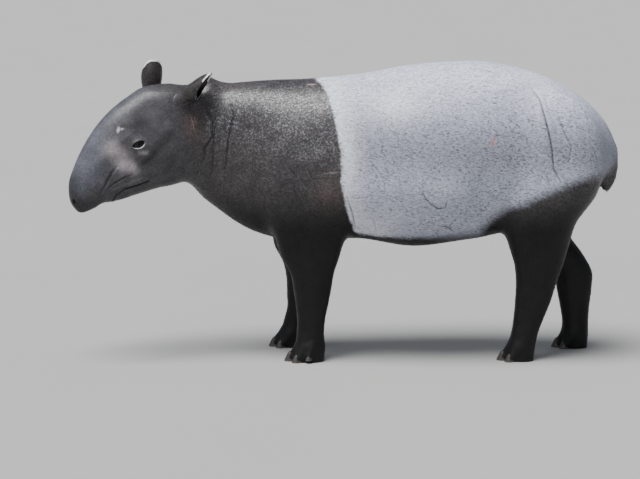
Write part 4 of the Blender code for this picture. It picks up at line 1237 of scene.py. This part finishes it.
def build_coat(skin):
    """Short tufts that lie along the hide: each a closed three-sided spike of two rings and a tip, at
    root + t length lie + rise length t normal. Their shading leans on the skin's own normals."""
    root, normal, rng = scatter(skin.data, TUFT_COUNT, TUFT_SEED)
    lie = lie_of_hair(root, normal)
    length, width = hair_sizes(root, rng)
    count = len(root)
    swirl = rng.normal(0, 0.16, count)
    side = np.cross(normal, lie)
    lie = unit(lie + swirl[:, None] * side)
    side = unit(np.cross(normal, lie))
    values = paint_values(root, normal)
    rise = rng.uniform(0.02, 0.08, count) + np.maximum(rng.normal(0, 0.05, count), 0)
    rise = rise * (1 - 0.5 * values["head"])
    values["tone"] = 0.5 + (rng.random(count) - 0.5) * (1 - 0.55 * values["head"])
    turn = np.array([90, 210, 330]) * math.pi / 180
    places = []
    for t, share, lift in ((-0.04, 1.0, -0.0010), (0.45, 0.85, 0.0)):
        centre = root + lie * (t * length)[:, None]
        centre = centre + normal * (lift + rise * length * max(t, 0) * 1.25)[:, None]
        for angle in turn:
            aside = side * (0.5 * share * width * math.cos(angle))[:, None]
            places.append(centre + aside + normal * (TUFT_THICK * share * width * math.sin(angle))[:, None])
    places.append(root + lie * length[:, None] + normal * (rise * length * 0.85)[:, None])
    places = np.stack(places, 1)
    places[..., 2] = np.maximum(places[..., 2], 0.0008)
    patch = np.array(TUFT_UNWRAP) - 0.5
    each = len(patch)
    pieces = []
    for name, (inside, slot, around, along) in coat_regions(root).items():
        pick = np.flatnonzero(inside)
        faces = (np.array(TUFT_FACES) + each * np.arange(len(pick))[:, None, None]).reshape(-1, 3)
        mesh = bpy.data.meshes.new(name)
        mesh.from_pydata(places[pick].reshape(-1, 3), [], faces)
        store_values(mesh, {key: np.repeat(value[pick], each) for key, value in values.items()})
        where = np.stack([around[pick], along[pick]], -1)
        uv = (0.004 + 0.992 * where)[:, None] + 0.003 * patch[None]
        layer = mesh.uv_layers.new(name="OFBake")
        layer.data.foreach_set("uv", uv.reshape(-1, 2)[faces.ravel()].ravel().astype(np.float32))
        mesh.shade_smooth()
        soft = unit(0.25 * get_normals(mesh) + np.repeat(normal[pick], each, 0))
        mesh.normals_split_custom_set_from_vertices(soft)
        pieces.append((add_object(name, mesh), slot))
    return pieces


def coat_regions(points):
    """Splits the coat by place, each with its unwrap: turn around the form and share along it."""
    x, y, z = points.T
    s, n, across = on_head(points)
    ears, height, _, _, _ = ear_share(points)
    ear = ears > 0.3
    head = (s > 0.0) & (x < -0.60) & ~ear
    leg = (z < LEG_TOP) & ~head
    neck = (x < -0.30) & ~head & ~leg & ~ear
    trunk = ~ear & ~head & ~leg & ~neck
    around = (np.arctan2(y, z - 0.74) / (2 * math.pi)) % 1
    head_turn = (np.arctan2(across, n + 0.03) / (2 * math.pi)) % 1
    fore = leg & (x < 0.22)
    leg_turn = np.zeros(len(points))
    for rows, share, which in ((FORELEG, -1.0, fore), (HINDLEG, 1.0, leg & ~fore)):
        for side in (-1, 1):
            pick = which & (y * side > 0)
            heights, front, back, _, _, step = np.array(rows).T
            middle = spline(heights, (front + back) / 2)(z)
            stride = spline(heights, step)(z) * share * (side > 0)
            turn = (np.arctan2(y - side * 0.14, x - middle - stride) / (2 * math.pi)) % 1
            leg_turn = np.where(pick, turn * 0.5 + (0.5 if side > 0 else 0), leg_turn)
    ear_turn = np.zeros(len(points))
    for side, cup in enumerate(EAR_CUPS.values()):
        h, reach, turn = cup.local(points)
        mine = ear & (h > -0.02) & (h < EAR_LENGTH * 1.1) & (reach < 0.05)
        outside = reach > cup.radius(np.clip(h / EAR_LENGTH, 0, 1)) - EAR_THICK / 2
        ear_turn = np.where(mine, 0.5 * side + turn / 180 * 0.24 + 0.25 * outside, ear_turn)
    regions = {
        "coat_head": (head, "dark_hide", head_turn, np.clip((s + 0.12) / 0.70, 0, 1)),
        "coat_ears": (ear, "dark_hide", ear_turn, np.clip(height, 0, 1)),
        "coat_neck": (neck, "dark_hide", around, np.clip((x + 0.75) / 0.46, 0, 1)),
        "coat_forelegs": (fore, "dark_hide", leg_turn, z / LEG_TOP),
        "coat_hindlegs": (leg & ~fore, "dark_hide", leg_turn, z / LEG_TOP),
    }
    flank = x < RUMP_FRONT
    for name, part, start, length in (("side", flank, -0.31, 0.68), ("rump", ~flank, 0.35, 0.66)):
        along = np.clip((x - start) / length, 0, 1)
        for hand, half in (("left", y < 0), ("right", y >= 0)):
            regions[f"coat_{name}_{hand}"] = (trunk & half & part, "pale_hide", around, along)
    return regions


class Shader:
    """Short ways to place and link nodes in one node tree."""

    def __init__(self, tree):
        self.tree = tree

    def node(self, kind, **settings):
        """A new node with its settings."""
        node = self.tree.nodes.new(kind)
        for key, value in settings.items():
            setattr(node, key, value)
        return node

    def put(self, socket, value):
        """Links an output to the socket, or sets the socket to a number, vector or colour."""
        if hasattr(value, "is_output"):
            self.tree.links.new(value, socket)
        else:
            socket.default_value = value

    def math(self, operation, a, b=0.0, c=0.0, clamp=False):
        """a (operation) b, or a * b + c for MULTIPLY_ADD."""
        node = self.node("ShaderNodeMath", operation=operation, use_clamp=clamp)
        for socket, value in zip(node.inputs, (a, b, c)):
            self.put(socket, value)
        return node.outputs[0]

    def times(self, a, b):
        """a * b."""
        return self.math("MULTIPLY", a, b)

    def mix(self, share, a, b, blend="MIX"):
        """Colour a with that share of colour b over it."""
        node = self.node("ShaderNodeMix", data_type="RGBA", blend_type=blend)
        self.put(node.inputs[0], share)
        for socket, value in ((node.inputs[6], a), (node.inputs[7], b)):
            self.put(socket, (*value, 1) if isinstance(value, tuple) and len(value) == 3 else value)
        return node.outputs[2]

    def ramp(self, value, low, high, start=0.0, end=1.0):
        """Maps low..high smoothly to start..end."""
        node = self.node("ShaderNodeMapRange", interpolation_type="SMOOTHSTEP")
        self.put(node.inputs[0], value)
        for socket, number in zip(node.inputs[1:5], (low, high, start, end)):
            self.put(socket, number)
        return node.outputs[0]

    def attribute(self, name):
        """A value kept on the mesh."""
        return self.node("ShaderNodeAttribute", attribute_name=name).outputs["Fac"]

    def noise(self, vector, scale, detail=3.0, rough=0.55):
        """Fractal noise from 0 to 1 around 0.5, scale being its waves a metre."""
        node = self.node("ShaderNodeTexNoise")
        self.put(node.inputs["Vector"], vector)
        node.inputs["Scale"].default_value = scale
        node.inputs["Detail"].default_value = detail
        node.inputs["Roughness"].default_value = rough
        return node.outputs["Fac"]

    def place(self):
        """The place on the object, in metres."""
        return self.node("ShaderNodeTexCoord").outputs["Object"]

    def turned(self, vector, angles, scale):
        """The place turned and stretched, for noise drawn out along the hair."""
        node = self.node("ShaderNodeMapping")
        self.put(node.inputs["Vector"], vector)
        node.inputs["Rotation"].default_value = angles
        node.inputs["Scale"].default_value = scale
        return node.outputs[0]


def new_group(name, inputs, outputs):
    """A node group with its sockets, and the nodes at both of its ends."""
    tree = bpy.data.node_groups.new(name, "ShaderNodeTree")
    for label, kind in inputs:
        tree.interface.new_socket(label, in_out="INPUT", socket_type=kind)
    for label, kind in outputs:
        tree.interface.new_socket(label, in_out="OUTPUT", socket_type=kind)
    shader = Shader(tree)
    return shader, shader.node("NodeGroupInput"), shader.node("NodeGroupOutput")


def hide_group():
    """The animal's markings, with painted light and shade, as colour, roughness, gloss and fine relief,
    from the values on the mesh.

    Each layer is mixed over those before by its own value: black hide with its painted glints and its
    specks, white hide inside the saddle's edge, which the noises make ragged, greyed with painted shade on
    the flank and whitened with painted light on top, then the ears with painted shade in their cups, the
    creases with painted shade, and the scars.
    """
    shader, inputs, outputs = new_group(
        "Tapir hide",
        (("Tone", "NodeSocketFloat"),),
        (
            ("Colour", "NodeSocketColor"), ("Roughness", "NodeSocketFloat"), ("Gloss", "NodeSocketFloat"),
            ("Relief", "NodeSocketFloat"),
        ),
    )
    times, mix, ramp, value = shader.times, shader.mix, shader.ramp, shader.attribute
    place = shader.place()
    tone = inputs.outputs["Tone"]
    broad = shader.noise(place, 5.0, 3.0)
    patchy = shader.noise(place, 24.0, 4.0)
    grain = shader.noise(place, 150.0, 4.0, 0.75)
    hair = shader.noise(shader.turned(place, (0, -0.35, 0), (70, 420, 420)), 1.0, 2.0)
    hair_down = shader.noise(shader.turned(place, (0, 0, 0), (420, 420, 70)), 1.0, 2.0)
    specks = shader.noise(shader.turned(place, (0, -0.35, 0), (95, 210, 210)), 1.0, 4.0, 0.70)
    not_leg = shader.math("SUBTRACT", 1.0, value("leg"))
    streak = shader.math("ADD", times(hair, not_leg), times(hair_down, value("leg")))
    # black hide: painted light as bluish grey on the top of the head, browner on the neck, near black on
    # the legs, partly painted shade there
    dark = mix(ramp(broad, 0.35, 0.70), (0.032, 0.029, 0.031), (0.048, 0.042, 0.043))
    for name, share, colour in DARK_HIDE:
        dark = mix(times(value(name), share), dark, colour)
    # painted light and shade of the head's forms, its paler patches and the pink scar over the eye
    for low, high, most, colour in FACE_SHADING_AND_MARK_COLOURS:
        dark = mix(ramp(value("face_shading_and_marks"), low, high, 0.0, most), dark, colour)
    # painted highlight: pale bluish specks in the black hide of the upper neck and shoulder, where the
    # light glints
    glint = times(ramp(grain, 0.50, 0.66, 0.0, 0.75), value("painted_gleam"))
    dark = mix(times(glint, ramp(patchy, 0.35, 0.60, 0.35, 1.0)), dark, (0.235, 0.230, 0.260))
    speck = times(ramp(patchy, 0.30, 0.72, 0.80, 1.18), ramp(tone, 0.0, 1.0, 0.80, 1.20))
    dark = mix(1.0, dark, times(speck, ramp(grain, 0.35, 0.65, 0.84, 1.18)), "MULTIPLY")
    # white hide: hair of two greys over a darker skin that shows between them as specks
    lit_and_whiter = value("lit_and_whiter")
    pale = mix(ramp(patchy, 0.28, 0.72), (0.63, 0.66, 0.80), (0.77, 0.81, 0.97))
    # painted shade: the white greyed on the middle and lower flank, away from the light from above
    pale = mix(times(value("middle"), 0.9), pale, (0.300, 0.310, 0.375))
    # partly painted light: the saddle whiter on top where the light from above falls, partly whiter hair,
    # with fewer dark specks there
    pale = mix(times(lit_and_whiter, 0.85), pale, (0.86, 0.88, 0.97))
    pale = mix(1.0, pale, ramp(tone, 0.0, 1.0, 0.62, 1.18), "MULTIPLY")
    amount = shader.math("MULTIPLY_ADD", value("middle"), 0.25, 0.56)
    amount = times(amount, ramp(patchy, 0.35, 0.65, 0.7, 1.2))
    amount = times(amount, shader.math("MULTIPLY_ADD", lit_and_whiter, -0.6, 1.0))
    amount = shader.math("MULTIPLY", ramp(specks, 0.46, 0.62), amount, clamp=True)
    pale = mix(amount, pale, (0.10, 0.102, 0.118))
    # the saddle's edge, sharp at the shoulder and soft at the rump
    edge = value("saddle")
    for noise, width in ((patchy, 0.016), (grain, 0.016), (tone, 0.010)):
        edge = shader.math("MULTIPLY_ADD", shader.math("SUBTRACT", noise, 0.5), width, edge)
    reach = shader.math("MULTIPLY_ADD", value("soft"), 0.020, 0.006)
    white = ramp(edge, times(reach, -1.0), reach)
    colour = mix(white, dark, pale)
    # ears, with painted shade in their cups; painted shade in the creases; scars
    # painted shade: the insides of the ear cups made near black
    colour = mix(times(value("shaded_inside"), 0.9), colour, (0.012, 0.010, 0.010))
    rim = shader.math("MULTIPLY_ADD", shader.math("SUBTRACT", grain, 0.5), 0.7, value("rim"))
    colour = mix(ramp(rim, 0.30, 0.60), colour, (0.72, 0.72, 0.73))
    # painted shade in the creases, mouth, nostrils and around the lids, and the dark of the scratches
    colour = mix(ramp(value("crease_shade_and_scars"), 0.0, 1.0, 0.0, 0.85), colour, (0.008, 0.007, 0.007))
    flesh = mix(white, (0.34, 0.24, 0.235), (0.50, 0.20, 0.19))
    colour = mix(ramp(value("pink"), 0.1, 0.8, 0.0, 0.85), colour, flesh)
    rough = shader.math("ADD", ramp(grain, 0.35, 0.65, 0.40, 0.56), times(white, 0.16))
    relief = shader.math("ADD", times(streak, 0.6), times(grain, 0.8))
    gloss = times(shader.math("SUBTRACT", 1.0, white), not_leg)
    gloss = times(gloss, shader.math("MULTIPLY_ADD", value("head"), -0.5, 1.0))
    gloss = times(gloss, ramp(grain, 0.40, 0.64, 0.10, 0.85))
    for name, output in (("Colour", colour), ("Roughness", rough), ("Gloss", gloss), ("Relief", relief)):
        shader.put(outputs.inputs[name], output)
    return shader.tree


def new_material(name):
    """A material with its Principled shader."""
    material = bpy.data.materials.new(name)
    material.use_nodes = True
    shader = Shader(material.node_tree)
    return material, shader, material.node_tree.nodes["Principled BSDF"]


def hide_material(name, group, tone, rough, bump, sheen=0.0):
    """The hide's group in a Principled shader, with its own bump and gloss."""
    material, shader, bsdf = new_material(name)
    hide = shader.node("ShaderNodeGroup", node_tree=group)
    shader.put(hide.inputs["Tone"], shader.attribute("tone") if tone is None else tone)
    shader.put(bsdf.inputs["Base Color"], hide.outputs["Colour"])
    shader.put(bsdf.inputs["Roughness"], shader.math("ADD", hide.outputs["Roughness"], rough, clamp=True))
    if bump:
        ridge = shader.node("ShaderNodeBump")
        ridge.inputs["Strength"].default_value = bump
        ridge.inputs["Distance"].default_value = 0.0012
        shader.put(ridge.inputs["Height"], hide.outputs["Relief"])
        shader.put(bsdf.inputs["Normal"], ridge.outputs[0])
    shader.put(bsdf.inputs["Coat Weight"], hide.outputs["Gloss"])
    bsdf.inputs["Coat Roughness"].default_value = 0.28
    bsdf.inputs["Specular IOR Level"].default_value = 0.22
    bsdf.inputs["Sheen Weight"].default_value = sheen
    bsdf.inputs["Sheen Roughness"].default_value = 0.5
    return material


def eye_material():
    """A dark brown iris around a wide dark pupil, under a wet clear front."""
    material, shader, bsdf = new_material("Wet eye")
    gaze = shader.attribute("gaze")
    streaks = shader.noise(shader.place(), 400.0, 2.0)
    iris = shader.mix(streaks, (0.006, 0.005, 0.006), (0.014, 0.010, 0.011))
    colour = shader.mix(shader.ramp(gaze, 0.28, 0.34), (0.001, 0.001, 0.0012), iris)
    colour = shader.mix(shader.ramp(gaze, 0.62, 0.74), colour, (0.022, 0.016, 0.014))
    shader.put(bsdf.inputs["Base Color"], colour)
    bsdf.inputs["Roughness"].default_value = 0.06
    bsdf.inputs["Specular IOR Level"].default_value = 0.2
    return material


def lid_material(group):
    """Hide with painted shade at the opening's wet edge, turning into a moist pale margin along the lower
    lid that is partly a painted highlight.
    """
    material, shader, bsdf = new_material("Eyelid")
    hide = shader.node("ShaderNodeGroup", node_tree=group)
    hide.inputs["Tone"].default_value = 0.4
    # painted shade at the opening's wet edge
    colour = shader.mix(shader.attribute("wet"), hide.outputs["Colour"], (0.012, 0.010, 0.011))
    # the pale margin, partly a painted highlight of the wet rim
    colour = shader.mix(shader.attribute("margin"), colour, (0.44, 0.42, 0.48))
    shader.put(bsdf.inputs["Base Color"], colour)
    shader.put(bsdf.inputs["Roughness"], shader.ramp(shader.attribute("wet"), 0.0, 1.0, 0.5, 0.3))
    bsdf.inputs["Specular IOR Level"].default_value = 0.25
    return material


def horn_material():
    """Dark horn: fine upright lines, level growth rings and a paler worn lower edge."""
    material, shader, bsdf = new_material("Dark horn")
    place = shader.place()
    lines = shader.noise(shader.turned(place, (0, 0, 0), (900, 900, 40)), 1.0, 2.0)
    rings = shader.noise(shader.turned(place, (0, 0, 0), (12, 12, 500)), 1.0, 1.0)
    wear = shader.ramp(shader.attribute("up"), 0.22, 0.0)
    colour = shader.mix(lines, (0.016, 0.014, 0.013), (0.045, 0.038, 0.033))
    colour = shader.mix(shader.math("MULTIPLY", wear, 0.6), colour, (0.10, 0.088, 0.075))
    shader.put(bsdf.inputs["Base Color"], colour)
    shader.put(bsdf.inputs["Roughness"], shader.ramp(lines, 0.3, 0.7, 0.32, 0.50))
    ridge = shader.node("ShaderNodeBump")
    ridge.inputs["Strength"].default_value = 0.4
    ridge.inputs["Distance"].default_value = 0.0006
    shader.put(ridge.inputs["Height"], shader.math("ADD", lines, rings))
    shader.put(bsdf.inputs["Normal"], ridge.outputs[0])
    return material


def build_floor():
    """A wide plain floor as a disc of rings."""
    turn = np.linspace(0, 2 * math.pi, 96, endpoint=False)
    circle = np.stack([np.cos(turn), np.sin(turn), 0 * turn], -1)
    rings = [radius * circle - (0, 0, FLOOR_GAP) for radius in (90, 30, 10, 3, 1)]
    floor = grid_mesh("studio_floor", rings, caps=(False, True))
    bm = bmesh.new()
    bm.from_mesh(floor.data)
    for face in bm.faces:
        if face.normal.z < 0:
            face.normal_flip()
    bm.to_mesh(floor.data)
    bm.free()
    material, shader, bsdf = new_material("Pale floor")
    cloud = shader.noise(shader.place(), 0.8, 2.0)
    shader.put(bsdf.inputs["Base Color"], shader.mix(cloud, *FLOOR_COLOURS))
    bsdf.inputs["Roughness"].default_value = 0.75
    floor.data.materials.append(material)


def light_studio():
    """Soft light from above the camera's side, a weaker one from the head's side, and an even sky."""
    world = bpy.data.worlds.new("Studio")
    bpy.context.scene.world = world
    world.use_nodes = True
    back = world.node_tree.nodes["Background"]
    back.inputs[0].default_value = (*SKY_COLOUR, 1)
    back.inputs[1].default_value = SKY_STRENGTH
    for name, power, spread, turn in LAMPS:
        light = bpy.data.lights.new(name, "SUN")
        light.energy = power
        light.angle = math.radians(spread)
        sun = bpy.data.objects.new(name, light)
        sun.rotation_euler = [math.radians(angle) for angle in turn]
        bpy.context.scene.collection.objects.link(sun)


def place_camera():
    """The camera at the photograph's angle."""
    camera = bpy.data.objects.new("camera", bpy.data.cameras.new("camera"))
    bpy.context.scene.collection.objects.link(camera)
    camera.data.lens = CAMERA_LENS
    camera.data.sensor_width = 36
    camera.data.clip_end = 300
    camera.location = CAMERA
    aim = Vector(CAMERA_TARGET) - Vector(CAMERA)
    camera.rotation_euler = aim.to_track_quat("-Z", "Y").to_euler()
    bpy.context.scene.camera = camera


def main():
    """Makes the studio and every piece, ties each to the root body, and hides the solids' parts that the
    pieces replace."""
    place_camera()
    build_floor()
    light_studio()

    skin = build_skin()
    tidy_skin(skin)
    points = get_points(skin.data)
    normals = get_normals(skin.data)
    values = paint_values(points, normals)
    values["tone"] = np.full(len(points), 0.5)
    store_values(skin.data, values)
    group = hide_group()
    skin.data.materials.clear()
    skin.data.materials.append(hide_material("Hide under the coat", group, 0.50, 0.0, 0.5))
    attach(skin, "root")
    flesh = [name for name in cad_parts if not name.startswith(("eye", "hoof"))]
    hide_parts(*flesh)

    coat = hide_material("Short coat", group, None, -0.04, 0.0, 0.08)
    for piece, slot in build_coat(skin):
        piece.data.materials.append(coat)
        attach(piece, "root")

    wet = eye_material()
    lid = lid_material(group)
    for name in EYES:
        eye = build_eye(name)
        eye.data.materials.append(wet)
        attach(eye, "root")
        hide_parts(f"eye_{name}")
        lids = build_lids(name)
        lids.data.materials.append(lid)
        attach(lids, "root")

    horn = horn_material()
    for name, toe in all_toes():
        hoof = build_hoof(name, toe)
        hoof.data.materials.append(horn)
        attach(hoof, "root")
        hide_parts(f"hoof_{name}")


main()
